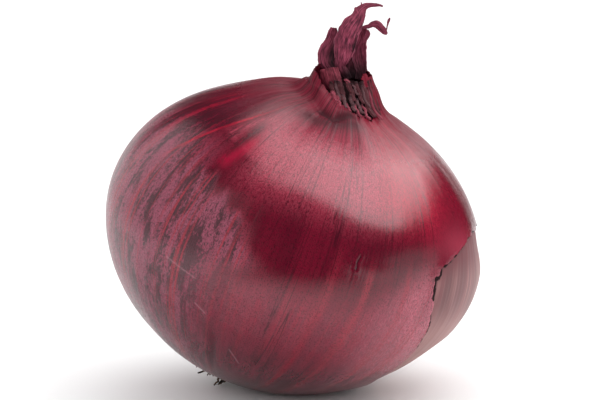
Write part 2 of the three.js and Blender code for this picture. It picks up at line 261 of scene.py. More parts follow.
class Bench:
    """Modelling steps that every piece shares, each one of Blender's own operators."""

    @staticmethod
    def read(piece: Piece) -> Points:
        """Read a piece's vertices, in millimetres."""
        flat = np.empty(len(piece.data.vertices) * 3)
        piece.data.vertices.foreach_get("co", flat)
        return flat.reshape(-1, 3) / MM

    @staticmethod
    def write(piece: Piece, points: Points) -> None:
        """Write a piece's vertices, given in millimetres."""
        piece.data.vertices.foreach_set("co", (points * MM).ravel())
        piece.data.update()

    @staticmethod
    def normals(piece: Piece) -> Points:
        """Read the direction that each vertex faces."""
        flat = np.empty(len(piece.data.vertices) * 3, dtype=np.float32)
        piece.data.vertex_normals.foreach_get("vector", flat)
        return flat.reshape(-1, 3).astype(float)

    @staticmethod
    def face_centres(piece: Piece) -> Points:
        """Read the middle of each face, in millimetres."""
        flat = np.empty(len(piece.data.polygons) * 3, dtype=np.float32)
        piece.data.polygons.foreach_get("center", flat)
        return flat.reshape(-1, 3).astype(float) / MM

    @staticmethod
    def rim(piece: Piece) -> NDArray[np.int64]:
        """List the vertices on open edges.

        Args:
            piece: The piece.

        Returns:
            The vertices' numbers.
        """
        mesh = piece.data
        used = np.empty(len(mesh.loops), dtype=np.int32)
        mesh.loops.foreach_get("edge_index", used)
        ends = np.empty(len(mesh.edges) * 2, dtype=np.int32)
        mesh.edges.foreach_get("vertices", ends)
        open_edges = np.bincount(used, minlength=len(mesh.edges)) == 1
        return np.unique(ends.reshape(-1, 2)[open_edges]).astype(np.int64)

    @staticmethod
    def take(piece: Piece) -> None:
        """Select one piece alone and make it active."""
        bpy.ops.object.select_all(action="DESELECT")
        piece.select_set(True)
        bpy.context.view_layer.objects.active = piece

    @staticmethod
    def name(piece: Piece, name: str) -> None:
        """Name a piece and its mesh."""
        piece.name = name
        piece.data.name = name

    @classmethod
    def pick_faces(cls, piece: Piece, chosen: NDArray[np.bool_]) -> None:
        """Enter edit mode with the chosen faces selected.

        Args:
            piece: The piece.
            chosen: True for each chosen face.
        """
        cls.take(piece)
        bpy.ops.object.mode_set(mode="EDIT")
        bpy.ops.mesh.select_mode(type="FACE")
        bpy.ops.mesh.select_all(action="DESELECT")
        bpy.ops.object.mode_set(mode="OBJECT")
        piece.data.polygons.foreach_set("select", chosen)
        bpy.ops.object.mode_set(mode="EDIT")

    @classmethod
    def divide(cls, piece: Piece, chosen: NDArray[np.bool_], cuts: int) -> None:
        """Divide the chosen faces into finer ones."""
        cls.pick_faces(piece, chosen)
        bpy.ops.mesh.subdivide(number_cuts=cuts)
        bpy.ops.object.mode_set(mode="OBJECT")

    @classmethod
    def remove(cls, piece: Piece, chosen: NDArray[np.bool_]) -> None:
        """Delete the chosen faces."""
        cls.pick_faces(piece, chosen)
        bpy.ops.mesh.delete(type="FACE")
        bpy.ops.object.mode_set(mode="OBJECT")

    @classmethod
    def revolve(cls, name: str, outline: Points, steps: int) -> Piece:
        """Extrude a half outline point by point and spin it about the upright axis.

        Args:
            name: Name of the piece.
            outline: Radius and height of each point, from the bottom up.
            steps: Number of steps around.

        Returns:
            The spun piece, facing outwards.
        """
        bpy.ops.object.select_all(action="DESELECT")
        bpy.ops.mesh.primitive_plane_add(size=MM)
        piece = bpy.context.object
        cls.name(piece, name)
        bpy.ops.object.mode_set(mode="EDIT")
        bpy.ops.mesh.select_mode(type="VERT")
        bpy.ops.mesh.select_all(action="SELECT")
        bpy.ops.mesh.merge(type="CENTER")
        bpy.ops.transform.translate(value=(outline[0, 0] * MM, 0.0, outline[0, 1] * MM))
        for radius, height in np.diff(outline, axis=0):
            bpy.ops.mesh.extrude_region_move(
                TRANSFORM_OT_translate={"value": (radius * MM, 0.0, height * MM)}
            )
        bpy.ops.mesh.select_all(action="SELECT")
        bpy.ops.mesh.spin(steps=steps, angle=FULL_TURN, center=(0.0, 0.0, 0.0), axis=(0.0, 0.0, 1.0))
        bpy.ops.mesh.select_all(action="SELECT")
        bpy.ops.mesh.remove_doubles(threshold=0.001 * MM)
        bpy.ops.mesh.normals_make_consistent(inside=False)
        bpy.ops.object.mode_set(mode="OBJECT")
        return piece

    @classmethod
    def grid(cls, name: str, columns: int, rows: int) -> Piece:
        """Add a flat grid, one unit square, for a sheet that is bent into shape later.

        Args:
            name: The piece's name.
            columns: Faces across.
            rows: Faces along.

        Returns:
            The flat grid.
        """
        bpy.ops.object.select_all(action="DESELECT")
        bpy.ops.mesh.primitive_grid_add(x_subdivisions=columns, y_subdivisions=rows, size=1.0)
        piece = bpy.context.object
        cls.name(piece, name)
        return piece

    @staticmethod
    def drawn_disc(sides: int, radius: float, steps: Sequence[Span]) -> Piece:
        """Draw a disc out upwards, step by step.

        Args:
            sides: Number of the disc's sides.
            radius: The disc's radius.
            steps: The share that each step narrows to, and its rise.

        Returns:
            The closed form.
        """
        bpy.ops.object.select_all(action="DESELECT")
        bpy.ops.mesh.primitive_circle_add(vertices=sides, radius=radius * MM, fill_type="NGON")
        piece = bpy.context.object
        bpy.ops.object.mode_set(mode="EDIT")
        bpy.ops.mesh.select_all(action="SELECT")
        for share, rise in steps:
            bpy.ops.mesh.extrude_region_move(TRANSFORM_OT_translate={"value": (0.0, 0.0, rise * MM)})
            bpy.ops.transform.resize(value=(share, share, 1.0))
        bpy.ops.mesh.select_all(action="SELECT")
        bpy.ops.mesh.normals_make_consistent(inside=False)
        bpy.ops.object.mode_set(mode="OBJECT")
        return piece

    @classmethod
    def thicken(cls, piece: Piece, thickness: float, offset: float) -> None:
        """Give a sheet its thickness.

        Args:
            piece: The sheet.
            thickness: Thickness in millimetres.
            offset: -1 to grow inwards, 0 to grow both ways.
        """
        cls.take(piece)
        bpy.ops.object.modifier_add(type="SOLIDIFY")
        wall = piece.modifiers[-1]
        wall.thickness = thickness * MM
        wall.offset = offset
        bpy.ops.object.modifier_apply(modifier=wall.name)

    @classmethod
    def soften(cls, piece: Piece, levels: int) -> None:
        """Round a mesh with a subdivision surface.

        Args:
            piece: The piece.
            levels: How often it is divided.
        """
        cls.take(piece)
        bpy.ops.object.modifier_add(type="SUBSURF")
        surface = piece.modifiers[-1]
        surface.levels = levels
        surface.render_levels = levels
        bpy.ops.object.modifier_apply(modifier=surface.name)

    @classmethod
    def join(cls, name: str, parts: Sequence[Piece]) -> Piece:
        """Join parts into one piece.

        Args:
            name: The piece's name.
            parts: Its parts, the first of which is kept.

        Returns:
            The joined piece.
        """
        cls.take(parts[0])
        for part in parts:
            part.select_set(True)
        if len(parts) > 1:
            bpy.ops.object.join()
        cls.name(parts[0], name)
        return parts[0]

    @classmethod
    def smooth(cls, piece: Piece, angle: float = 60.0) -> None:
        """Shade smooth, with edges sharper than the angle in degrees kept crisp."""
        cls.take(piece)
        bpy.ops.object.shade_smooth_by_angle(angle=math.radians(angle))

    @staticmethod
    def trait(piece: Piece, trait: Trait, values: Points) -> None:
        """Store three numbers on each vertex for a finish to read."""
        layer = piece.data.attributes.new(trait.value, "FLOAT_VECTOR", "POINT")
        layer.data.foreach_set("vector", values.astype(np.float32).ravel())

    @staticmethod
    def recall(piece: Piece, trait: Trait) -> Points:
        """Read back three numbers stored on each vertex."""
        flat = np.empty(len(piece.data.vertices) * 3, dtype=np.float32)
        piece.data.attributes[trait.value].data.foreach_get("vector", flat)
        return flat.reshape(-1, 3).astype(float)

    @staticmethod
    def over_faces(piece: Piece, values: Values) -> Values:
        """Average a number of the vertices over each face.

        Args:
            piece: The piece.
            values: A number for each vertex.

        Returns:
            The average for each face.
        """
        mesh = piece.data
        corners = np.empty(len(mesh.loops), dtype=np.int32)
        mesh.loops.foreach_get("vertex_index", corners)
        sides = np.empty(len(mesh.polygons), dtype=np.int32)
        mesh.polygons.foreach_get("loop_total", sides)
        return np.add.reduceat(values[corners], np.cumsum(sides) - sides) / sides

    @staticmethod
    def paint(
        piece: Piece, materials: Sequence[bpy.types.Material], choice: NDArray[np.int32]
    ) -> None:
        """Give a piece its materials, and each face its choice among them."""
        for material in materials:
            piece.data.materials.append(material)
        piece.data.polygons.foreach_set("material_index", choice)

    @staticmethod
    def hand_over(piece: Piece, slot: Slot, *nodes: str) -> None:
        """Let a finished piece ride on the onion and stand for its solids.

        Args:
            piece: The finished piece.
            slot: The record's slot of its finish; not used.
            nodes: The solids that it stands for.
        """
        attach(piece, BODY)
        if nodes:
            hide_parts(*nodes)
        piece.data.calc_loop_triangles()
        log.info("%s: %d triangles", piece.name, len(piece.data.loop_triangles))


class Graph:
    """A material's nodes, with short ways to add and join them."""

    def __init__(self, name: str) -> None:
        """Start a material with its surface shader."""
        self.material = bpy.data.materials.new(name)
        self.material.use_nodes = True
        self.tree = self.material.node_tree
        self.shader = self.tree.nodes["Principled BSDF"]

    def add(self, kind: str, **settings: object) -> bpy.types.Node:
        """Add a node and set its properties."""
        node = self.tree.nodes.new(kind)
        for key, value in settings.items():
            setattr(node, key, value)
        return node

    def feed(self, socket: Socket, value: object) -> None:
        """Join a socket to another one, or set it to a value.

        Args:
            socket: The socket.
            value: Another socket, a number, a vector or a colour.
        """
        if isinstance(value, Socket):
            self.tree.links.new(value, socket)
        elif isinstance(value, tuple) and len(value) == 3 and socket.type == "RGBA":
            socket.default_value = (*value, 1.0)
        else:
            socket.default_value = value

    def set(self, socket: str, value: object) -> None:
        """Feed one of the surface shader's sockets."""
        self.feed(self.shader.inputs[socket], value)

    def trait(self, trait: Trait) -> Socket:
        """Read a vertex attribute."""
        return self.add("ShaderNodeAttribute", attribute_name=trait.value).outputs["Vector"]

    def place(self) -> Socket:
        """Read object coordinates."""
        return self.add("ShaderNodeTexCoord").outputs["Object"]

    def parts(self, vector: Socket) -> Sequence[Socket]:
        """Split a vector into its three numbers."""
        node = self.add("ShaderNodeSeparateXYZ")
        self.feed(node.inputs[0], vector)
        return list(node.outputs)

    def stretch(self, vector: Socket, factors: Colour) -> Socket:
        """Scale a vector by a factor for each direction."""
        node = self.add("ShaderNodeVectorMath", operation="MULTIPLY")
        self.feed(node.inputs[0], vector)
        self.feed(node.inputs[1], factors)
        return node.outputs["Vector"]

    def noise(
        self, vector: Socket, detail: float = 4.0, rough: float = 0.5, bent: float = 0.0
    ) -> Socket:
        """Add cloudy noise of one unit pitch.

        Args:
            vector: Where to read it.
            detail: Number of finer layers.
            rough: Strength of the finer layers.
            bent: How much the noise bends itself.

        Returns:
            The noise, around 0.5.
        """
        node = self.add("ShaderNodeTexNoise")
        self.feed(node.inputs["Vector"], vector)
        self.feed(node.inputs["Scale"], 1.0)
        self.feed(node.inputs["Detail"], detail)
        self.feed(node.inputs["Roughness"], rough)
        self.feed(node.inputs["Distortion"], bent)
        return node.outputs["Fac"]

    def ramp(
        self, value: Socket, low: float, high: float, start: float = 0.0, end: float = 1.0
    ) -> Socket:
        """Rise smoothly from start to end as a value goes from low to high."""
        node = self.add("ShaderNodeMapRange", interpolation_type="SMOOTHSTEP")
        for socket, number in zip(node.inputs, (value, low, high, start, end)):
            self.feed(socket, number)
        return node.outputs["Result"]

    def math(self, operation: str, first: object, second: object) -> Socket:
        """Combine two numbers."""
        node = self.add("ShaderNodeMath", operation=operation)
        self.feed(node.inputs[0], first)
        self.feed(node.inputs[1], second)
        return node.outputs[0]

    def times(self, *values: object) -> Socket:
        """Multiply numbers together."""
        total = values[0]
        for value in values[1:]:
            total = self.math("MULTIPLY", total, value)
        return total

    def mix(self, share: object, first: object, second: object) -> Socket:
        """Blend two colours.

        Args:
            share: Share of the second colour.
            first: First colour.
            second: Second colour.

        Returns:
            The blend.
        """
        node = self.add("ShaderNodeMix", data_type="RGBA")
        sockets = [s for s in node.inputs if s.enabled]
        for socket, value in zip(sockets, (share, first, second)):
            self.feed(socket, value)
        return next(s for s in node.outputs if s.enabled)

    def size(self, value: object) -> Socket:
        """Drop a number's sign."""
        node = self.add("ShaderNodeMath", operation="ABSOLUTE")
        self.feed(node.inputs[0], value)
        return node.outputs[0]

    def lines(self, vector: Socket, width: float) -> Socket:
        """Draw thin lines where cloudy noise crosses its middle."""
        away = self.size(self.math("SUBTRACT", self.noise(vector, detail=2.0), 0.5))
        return self.ramp(away, 0.0, width, 1.0, 0.0)

    def towards(self, growth: Socket, azimuth: float, lean: float = 0.0) -> Socket:
        """Give the cosine of the way around from an azimuth.

        Args:
            growth: The growth attribute: the azimuth's cosine and sine, and the way along.
            azimuth: The azimuth in degrees.
            lean: What is taken off for each unit of the way along.

        Returns:
            The cosine, less the lean.
        """
        turn = math.radians(azimuth)
        node = self.add("ShaderNodeVectorMath", operation="DOT_PRODUCT")
        self.feed(node.inputs[0], growth)
        self.feed(node.inputs[1], (math.cos(turn), math.sin(turn), -lean))
        return node.outputs["Value"]

    def stripe_mask(
        self, growth: Socket, stripes: Sequence[tuple[float, float, float]]
    ) -> Socket:
        """Mark narrow stripes along meridians.

        Args:
            growth: The growth attribute.
            stripes: Azimuth in degrees at the shoulder, half width as a sine and lean, for each stripe.

        Returns:
            A mask from 0 to 1.
        """
        total: object = 0.0
        for azimuth, width, lean in stripes:
            across = self.towards(growth, azimuth + 90.0, lean)
            away = self.size(self.math("ADD", across, lean * SHOULDER))
            stripe = self.ramp(away, width * 0.4, width * 2.0, 1.0, 0.0)
            near_side = self.ramp(self.towards(growth, azimuth), 0.0, 0.3)
            total = self.math("MAXIMUM", total, self.times(stripe, near_side))
        return total

    def bump(self, height: Socket, depth: float) -> None:
        """Raise the surface by a height of 0 to 1, with the depth in millimetres.

        Args:
            height: The height, from 0 to 1.
            depth: Depth in millimetres.
        """
        node = self.add("ShaderNodeBump")
        self.feed(node.inputs["Strength"], 1.0)
        self.feed(node.inputs["Distance"], depth * MM)
        self.feed(node.inputs["Height"], height)
        self.set("Normal", node.outputs["Normal"])


@dataclass(frozen=True)
class SkinFinish:
    """Glossy crimson outer skin with veins, red streaks and a mauve, blotched bloom, with light and shade
    painted in: a lighter crown, a painted highlight on the dusk edge, painted light over the tear, and
    painted shade on the upper left, the collar, under the fold and at the foot.
    """

    name: str = "papery_skin"
    crimson: Colour = srgb(88, 4, 28)
    bright: Colour = srgb(104, 6, 33)
    # Painted light: the lighter, rosier colour of the crown where the overhead light falls, also laid over
    # the tear.
    lit_rose: Colour = srgb(188, 68, 90)
    vein: Colour = srgb(52, 6, 20)
    mauve: Colour = srgb(144, 66, 88)
    rosy: Colour = srgb(156, 54, 76)
    blotch: Colour = srgb(56, 18, 28)
    streak: Colour = srgb(150, 32, 52)
    # Painted shade: the darker red of the upper left, on the side turned from the light.
    dusk: Colour = srgb(90, 17, 37)
    # The bright red of the hairs in the dusky left, and of the painted highlight along the dusk edge.
    edge: Colour = srgb(168, 20, 48)
    # Painted light: the crown's redder lit colour where it faces right.
    lit_flush: Colour = srgb(190, 26, 58)
    blush: Colour = srgb(198, 96, 114)
    flame: Colour = srgb(184, 6, 56)
    # The collar's deeper red, partly its own colour and partly painted shade towards the neck.
    collar_red_and_shade: Colour = srgb(112, 18, 40)
    shade: Colour = srgb(44, 6, 16)
    nick: Colour = srgb(36, 8, 16)
    scratch: Colour = srgb(176, 120, 132)
    stripes: Line = (
        (-80.5, 0.020, 0.0), (-69.0, 0.017, 0.0), (-55.7, 0.014, 0.0),
    )
    dusk_edge: Place = (-144.5, 0.011, 0.47)
    right: float = -25.0
    gloss: float = 0.56
    roughness: float = 0.13

    def material(self) -> bpy.types.Material:
        """Build the skin's material from its growth, wear, tone, mottle and sheen attributes.

        Returns:
            The material.
        """
        g = Graph(self.name)
        growth = g.trait(Trait.GROWTH)
        bloom, nick, scratch = g.parts(g.trait(Trait.WEAR))
        dusk, collar, crown = g.parts(g.trait(Trait.TONE))
        blotchy, low, shade = g.parts(g.trait(Trait.MOTTLE))
        _, flame, tear_light = g.parts(g.trait(Trait.SHEEN))
        broad = g.noise(g.stretch(growth, (6.5, 6.5, 0.55)), detail=3.0)
        hair = g.noise(g.stretch(growth, (64.0, 64.0, 1.2)), detail=4.0, rough=0.6, bent=0.1)
        strand = g.noise(g.stretch(growth, (15.0, 15.0, 0.5)), detail=4.0)
        patch = g.noise(g.stretch(growth, (12.0, 12.0, 3.4)), detail=8.0, rough=0.68, bent=0.6)
        speck = g.noise(g.stretch(growth, (110.0, 110.0, 52.0)), detail=3.0, rough=0.7)
        grain = g.noise(g.stretch(growth, (170.0, 170.0, 120.0)), detail=2.0, rough=0.6)
        mottled = g.math("ADD", patch, g.times(g.math("SUBTRACT", speck, 0.5), 0.6))
        hairs = g.times(g.ramp(hair, 0.48, 0.57), g.ramp(strand, 0.44, 0.57))
        colour = g.mix(g.ramp(broad, 0.42, 0.66), self.crimson, self.bright)
        facing = g.towards(growth, self.right)
        # Painted light: the crown is painted lighter and rosier where the light from above falls on it, and
        # redder where it faces right.
        painted_light_tone = g.mix(g.ramp(facing, 0.62, 0.88), self.lit_rose, self.lit_flush)
        colour = g.mix(g.times(crown, g.ramp(speck, 0.3, 0.65, 0.35, 0.8)), colour, painted_light_tone)
        colour = g.mix(g.times(g.ramp(hair, 0.54, 0.68), 0.46), colour, self.vein)
        # Painted shade: the upper left, beyond the dusk edge, is painted a darker red. The red hairs in it
        # are its own.
        colour = g.mix(g.times(dusk, g.ramp(mottled, 0.3, 0.6, 0.55, 0.95)), colour, self.dusk)
        colour = g.mix(g.times(dusk, hairs, 0.6), colour, self.edge)
        veil = g.mix(blotchy, g.mix(g.ramp(facing, 0.70, 0.92), self.rosy, self.blush), self.mauve)
        colour = g.mix(g.times(bloom, g.ramp(speck, 0.3, 0.6, 0.55, 0.95)), colour, veil)
        colour = g.mix(g.times(blotchy, g.ramp(mottled, 0.485, 0.54), 0.9), colour, self.blotch)
        colour = g.mix(g.times(bloom, hairs, 0.9), colour, self.streak)
        striped = g.times(g.stripe_mask(growth, self.stripes), low, g.ramp(patch, 0.35, 0.6, 0.7, 0.3))
        colour = g.mix(striped, colour, self.streak)
        # Painted highlight: a bright red line along the dusk edge, where a fold of skin catches the light.
        rim = g.stripe_mask(growth, (self.dusk_edge,))
        shoulder = g.ramp(g.parts(growth)[2], 1.70, 1.90)
        colour = g.mix(g.times(rim, shoulder, g.ramp(hair, 0.35, 0.6, 0.4, 1.0)), colour, self.edge)
        fine = g.lines(g.stretch(growth, (8.0, 8.0, 0.18)), 0.009)
        colour = g.mix(g.times(fine, g.ramp(patch, 0.4, 0.6, 0.15, 0.8)), colour, self.vein)
        colour = g.mix(g.times(g.ramp(grain, 0.46, 0.70), 0.75), colour, self.vein)
        colour = g.mix(g.times(flame, g.ramp(mottled, 0.3, 0.6, 0.95, 0.5)), colour, self.flame)
        # Painted light: the skin over the tear is brightened with the crown's lit colour, standing in for
        # the light it reflects.
        colour = g.mix(g.times(tear_light, 0.45), colour, self.lit_rose)
        # Painted shade: the collar darkens towards the neck into a deeper red that is partly its own, with
        # darker creases, and less on the right.
        creased = g.mix(g.ramp(hair, 0.42, 0.62), self.collar_red_and_shade, self.shade)
        colour = g.mix(g.times(collar, g.ramp(facing, 0.45, 0.8, 0.85, 0.55)), colour, creased)
        colour = g.mix(shade, colour, self.shade)
        colour = g.mix(g.times(nick, 0.8), colour, self.nick)
        colour = g.mix(g.times(scratch, 0.35), colour, self.scratch)
        g.set("Base Color", colour)
        dull = g.math("ADD", g.times(bloom, 0.12), g.times(collar, 0.35))
        rough = g.ramp(speck, 0.3, 0.7, self.roughness, self.roughness + 0.08)
        g.set("Roughness", g.math("ADD", rough, dull))
        g.set("Specular IOR Level", self.gloss)
        relief = g.math("ADD", g.times(hair, 0.6), g.times(speck, 0.4))
        g.bump(relief, 0.06)
        return g.material


@dataclass(frozen=True)
class LayerFinish:
    """Bare inner layer, mauve brown with pale meridional streaks and painted sheen to the right and below,
    rosy by the torn edge, with painted shadow along it.
    """

    flesh: Colour = srgb(118, 66, 69)
    # Pale of the streaks and of the painted sheen.
    pale: Colour = srgb(180, 132, 128)
    shade: Colour = srgb(90, 42, 47)
    # Painted shadow along the torn edge, where the skin stands off the layer.
    gap: Colour = srgb(34, 8, 14)
    rosy: Colour = srgb(98, 20, 34)
    roughness: float = 0.42

    def material(self) -> bpy.types.Material:
        """Build the layer's material from its growth, tone and mottle attributes.

        Returns:
            The material.
        """
        g = Graph("bare_layer")
        growth = g.trait(Trait.GROWTH)
        light, gap, _ = g.parts(g.trait(Trait.TONE))
        rosy, _, _ = g.parts(g.trait(Trait.MOTTLE))
        broad = g.noise(g.stretch(growth, (11.0, 11.0, 0.5)), detail=3.0)
        fine = g.noise(g.stretch(growth, (48.0, 48.0, 0.8)), detail=3.0)
        colour = g.mix(g.ramp(broad, 0.36, 0.62), self.shade, self.flesh)
        streaks = g.times(g.ramp(fine, 0.46, 0.70), g.ramp(broad, 0.40, 0.58, 0.2, 0.6))
        # Pale streaks, and painted sheen where the layer turns towards the right edge and downwards.
        colour = g.mix(g.math("MAXIMUM", streaks, g.times(light, 0.55)), colour, self.pale)
        colour = g.mix(g.times(rosy, 0.8), colour, self.rosy)
        # Painted shadow: near black along the torn edge.
        g.set("Base Color", g.mix(gap, colour, self.gap))
        g.set("Roughness", g.ramp(fine, 0.3, 0.7, self.roughness, self.roughness + 0.12))
        g.bump(fine, 0.06)
        return g.material


@dataclass(frozen=True)
class DarkFinish:
    """Dull, nearly black painted shade: the neck under the fibres, the layer along the tear, and the skin's
    torn edge.
    """

    name: str
    tone: Colour = srgb(30, 8, 12)
    gloss: float = 0.1
    roughness: float = 0.7

    def material(self) -> bpy.types.Material:
        """Build the dark material.

        Returns:
            The material.
        """
        g = Graph(self.name)
        g.set("Base Color", self.tone)
        g.set("Roughness", self.roughness)
        g.set("Specular IOR Level", self.gloss)
        return g.material


class LeafTone(Enum):
    """Named colourings of the dry sheets at the neck: dark, middle and light."""

    LEAF = (srgb(64, 16, 34), srgb(144, 56, 80), srgb(190, 104, 128))
    SHEATH = (srgb(70, 16, 30), srgb(132, 44, 62), srgb(192, 98, 116))
    FIBRE = (srgb(36, 11, 16), srgb(100, 44, 52), srgb(166, 108, 116))
    ASH = (srgb(54, 28, 32), srgb(118, 78, 84), srgb(170, 128, 132))
    SHRED = (srgb(112, 36, 52), srgb(166, 76, 92), srgb(208, 140, 150))


@dataclass(frozen=True)
class LeafFinish:
    """Dry, creased sheet with fine lines along it, with painted shade at the foot and a painted highlight
    on its edges.
    """

    tone: LeafTone
    # Near black for painted shade at a leaf's foot and side, and for the fibres' darker tips.
    foot: Colour = srgb(20, 5, 12)
    gloss: float = 0.2
    roughness: float = 0.6

    def material(self) -> bpy.types.Material:
        """Build the sheet's material from its blade attribute.

        Returns:
            The material.
        """
        g = Graph(f"dry_{self.tone.name.lower()}")
        dark, middle, light = self.tone.value
        blade = g.trait(Trait.BLADE)
        side, _, foot = g.parts(blade)
        lines = g.noise(g.stretch(blade, (13.0, 0.35, 0.0)), detail=4.0, rough=0.65, bent=0.15)
        cloud = g.noise(g.stretch(g.place(), (420.0, 420.0, 300.0)), detail=4.0)
        colour = g.mix(g.ramp(lines, 0.34, 0.64), dark, middle)
        colour = g.mix(g.times(g.ramp(lines, 0.58, 0.74), 0.7), colour, light)
        colour = g.mix(g.times(g.ramp(cloud, 0.48, 0.68), 0.5), colour, dark)
        # Painted highlight: a paler rim along the sheet's edges.
        colour = g.mix(g.ramp(g.size(side), 0.455, 0.5, 0.0, 0.6), colour, light)
        # Near black where the blade attribute says: painted shade at a leaf's foot and shaded side, darker
        # tips on the fibres.
        g.set("Base Color", g.mix(foot, colour, self.foot))
        g.set("Specular IOR Level", self.gloss)
        g.set("Roughness", g.ramp(cloud, 0.3, 0.7, self.roughness, self.roughness + 0.2))
        g.bump(lines, 0.12)
        return g.material


@dataclass(frozen=True)
class RootFinish:
    """Dry roots, dark brown with paler fibres."""

    dark: Colour = srgb(38, 27, 22)
    light: Colour = srgb(150, 120, 94)
    roughness: float = 0.85

    def material(self) -> bpy.types.Material:
        """Build the roots' material on object coordinates.

        Returns:
            The material.
        """
        g = Graph("dry_roots")
        cloud = g.noise(g.stretch(g.place(), (900.0, 900.0, 900.0)), detail=6.0, rough=0.7)
        g.set("Base Color", g.mix(g.ramp(cloud, 0.42, 0.72), self.dark, self.light))
        g.set("Roughness", g.ramp(cloud, 0.3, 0.7, self.roughness - 0.15, self.roughness))
        g.bump(cloud, 0.2)
        return g.material


@dataclass(frozen=True)
class OnionForm:
    """The onion's growth: a full round bulb drawn up into a bent neck, and its lean on the table."""

    equator: float = 41.0
    crown: float = 32.0
    root: float = 34.8
    crown_fullness: float = 2.06
    root_fullness: float = 1.83
    flare: float = 14.5
    neck: float = 4.4
    neck_curve: FlatLine = ((8.2, 1.6), (5.9, 3.8))
    skew: float = 0.04
    lobes: tuple[tuple[int, float, float], ...] = ((2, 0.005, 0.6), (3, 0.004, 2.1))
    bend_start: float = 28.0
    bend: Span = (-0.022, 0.006)
    tilt_from: float = 31.5
    tilt_to: float = 35.5
    tilt_share: float = 0.6
    flap_azimuth: float = -2.6
    flap_spread: float = 1.1
    flap_from: float = 30.5
    flap_to: float = 36.0
    shoulder_radius: float = 15.0
    shoulder_spread: float = 6.5
    shoulder_height: float = 1.3
    lean_right: float = 18.6
    lean_forward: float = 7.0
    centre_height: float = 33.8
    body_step: float = 1.15
    neck_step: float = 0.36
    closer_rows: tuple[Span, Span] = ((18.0, 26.0), (27.0, 31.0))
    skin_top: float = 41.6
    low_points: int = 500
    high_points: int = 400
    neck_points: int = 300

    def outline(self, neck_top: float, inset: float) -> Points:
        """Trace the half outline from the root end to the top of the neck.

        Args:
            neck_top: Height of the neck's top over the equator.
            inset: Distance inside the outer surface.

        Returns:
            Radius and height of closely set points.
        """
        sink = np.linspace(math.pi / 2.0, 0.0, self.low_points)
        power = 2.0 / self.root_fullness
        low = np.column_stack((np.cos(sink) ** power * self.equator, -np.sin(sink) ** power * self.root))
        low[0, 0] = 0.0
        top_angle = math.acos((self.flare / self.equator) ** (self.crown_fullness / 2.0))
        climb = np.linspace(0.0, top_angle, self.high_points)[1:]
        power = 2.0 / self.crown_fullness
        high = np.column_stack((np.cos(climb) ** power * self.equator, np.sin(climb) ** power * self.crown))
        base = high[-1]
        first, second = (np.array((radius, base[1] + rise)) for radius, rise in self.neck_curve)
        top = np.array((self.neck, neck_top))
        t = np.linspace(0.0, 1.0, self.neck_points)[1:, None]
        neck = (1 - t) ** 3 * base + 3 * t * (1 - t) ** 2 * first + 3 * t**2 * (1 - t) * second + t**3 * top
        line = np.concatenate((low, high, neck))
        run = np.gradient(line, axis=0)
        run /= np.linalg.norm(run, axis=1, keepdims=True)
        inner = line - inset * np.column_stack((run[:, 1], -run[:, 0]))
        return np.maximum(inner, (0.0, -np.inf))

    def rows(self, outline: Points, first_radius: float) -> Points:
        """Space the rows of a spun mesh, close together at the neck.

        Args:
            outline: The half outline.
            first_radius: Radius where the rows begin at the root end.

        Returns:
            Radius and height of each row.
        """
        keep = (outline[:, 0] >= first_radius) | (outline[:, 1] > 0.0)
        line = outline[keep]
        slack = self.body_step - self.neck_step
        shoulder, collar = (0.5 * ease(line[:, 1], *span) for span in self.closer_rows)
        step = self.body_step - slack * (shoulder + collar)
        legs = np.linalg.norm(np.diff(line, axis=0), axis=1)
        count = np.concatenate(([0.0], np.cumsum(legs / step[1:])))
        even = np.linspace(0.0, count[-1], int(count[-1]) + 1)
        return np.column_stack((np.interp(even, count, line[:, 0]), np.interp(even, count, line[:, 1])))

    def axis(self, height: Values) -> tuple[Values, Values]:
        """Give how far the growth axis has moved right and back at a height."""
        above = np.maximum(0.0, height - self.bend_start) ** 2
        return self.skew * height + self.bend[0] * above, self.bend[1] * above

    def grow(self, points: Points, flap: float = 0.0) -> Points:
        """Turn a round spun form into the onion's uneven, bent one.

        Args:
            points: Points of the spun form.
            flap: How far the collar's flap stands out.

        Returns:
            The grown points, still upright.
        """
        azimuth = np.arctan2(points[:, 1], points[:, 0])
        height = points[:, 2]
        radius = np.hypot(points[:, 0], points[:, 1])
        lobed = 1.0 + sum(size * np.cos(count * azimuth + phase) for count, size, phase in self.lobes)
        radius = radius * lobed
        opened = swell(azimuth, self.flap_azimuth, self.flap_spread)
        opened = ease(height, self.flap_from, self.flap_to) * opened
        radius = radius + flap * opened
        hump = spot(radius - self.shoulder_radius, self.shoulder_spread)
        lift = np.where(height > 0.0, self.shoulder_height * hump * swell(azimuth, math.pi, math.pi), 0.0)
        right, back = self.axis(height)
        above = np.maximum(0.0, height - self.bend_start)
        turn = -2.0 * self.tilt_share * ease(height, self.tilt_from, self.tilt_to) * above
        x, y = radius * np.cos(azimuth), radius * np.sin(azimuth)
        tilt = turn * (self.bend[0] * x + self.bend[1] * y)
        return np.column_stack((x + right, y + back, height + lift + tilt))

    def stand(self, points: Points) -> Points:
        """Lean the upright onion on the table."""
        lean = Matrix.Rotation(math.radians(self.lean_forward), 3, "X")
        lean = lean @ Matrix.Rotation(math.radians(self.lean_right), 3, "Y")
        return points @ np.array(lean).T + np.array((0.0, 0.0, self.centre_height))

    def growth(self, points: Points, outline: Points) -> Points:
        """Give each point of the spun form its azimuth and its way along the outline.

        Args:
            points: Points of the spun form.
            outline: The half outline that was spun.

        Returns:
            Cosine and sine of the azimuth, and the way from the root end in equator radii.
        """
        azimuth = np.arctan2(points[:, 1], points[:, 0])
        legs = np.linalg.norm(np.diff(outline, axis=0), axis=1)
        run = np.concatenate(([0.0], np.cumsum(legs))) / self.equator
        along = np.interp(points[:, 2], outline[:, 1], run)
        return np.column_stack((np.cos(azimuth), np.sin(azimuth), along))

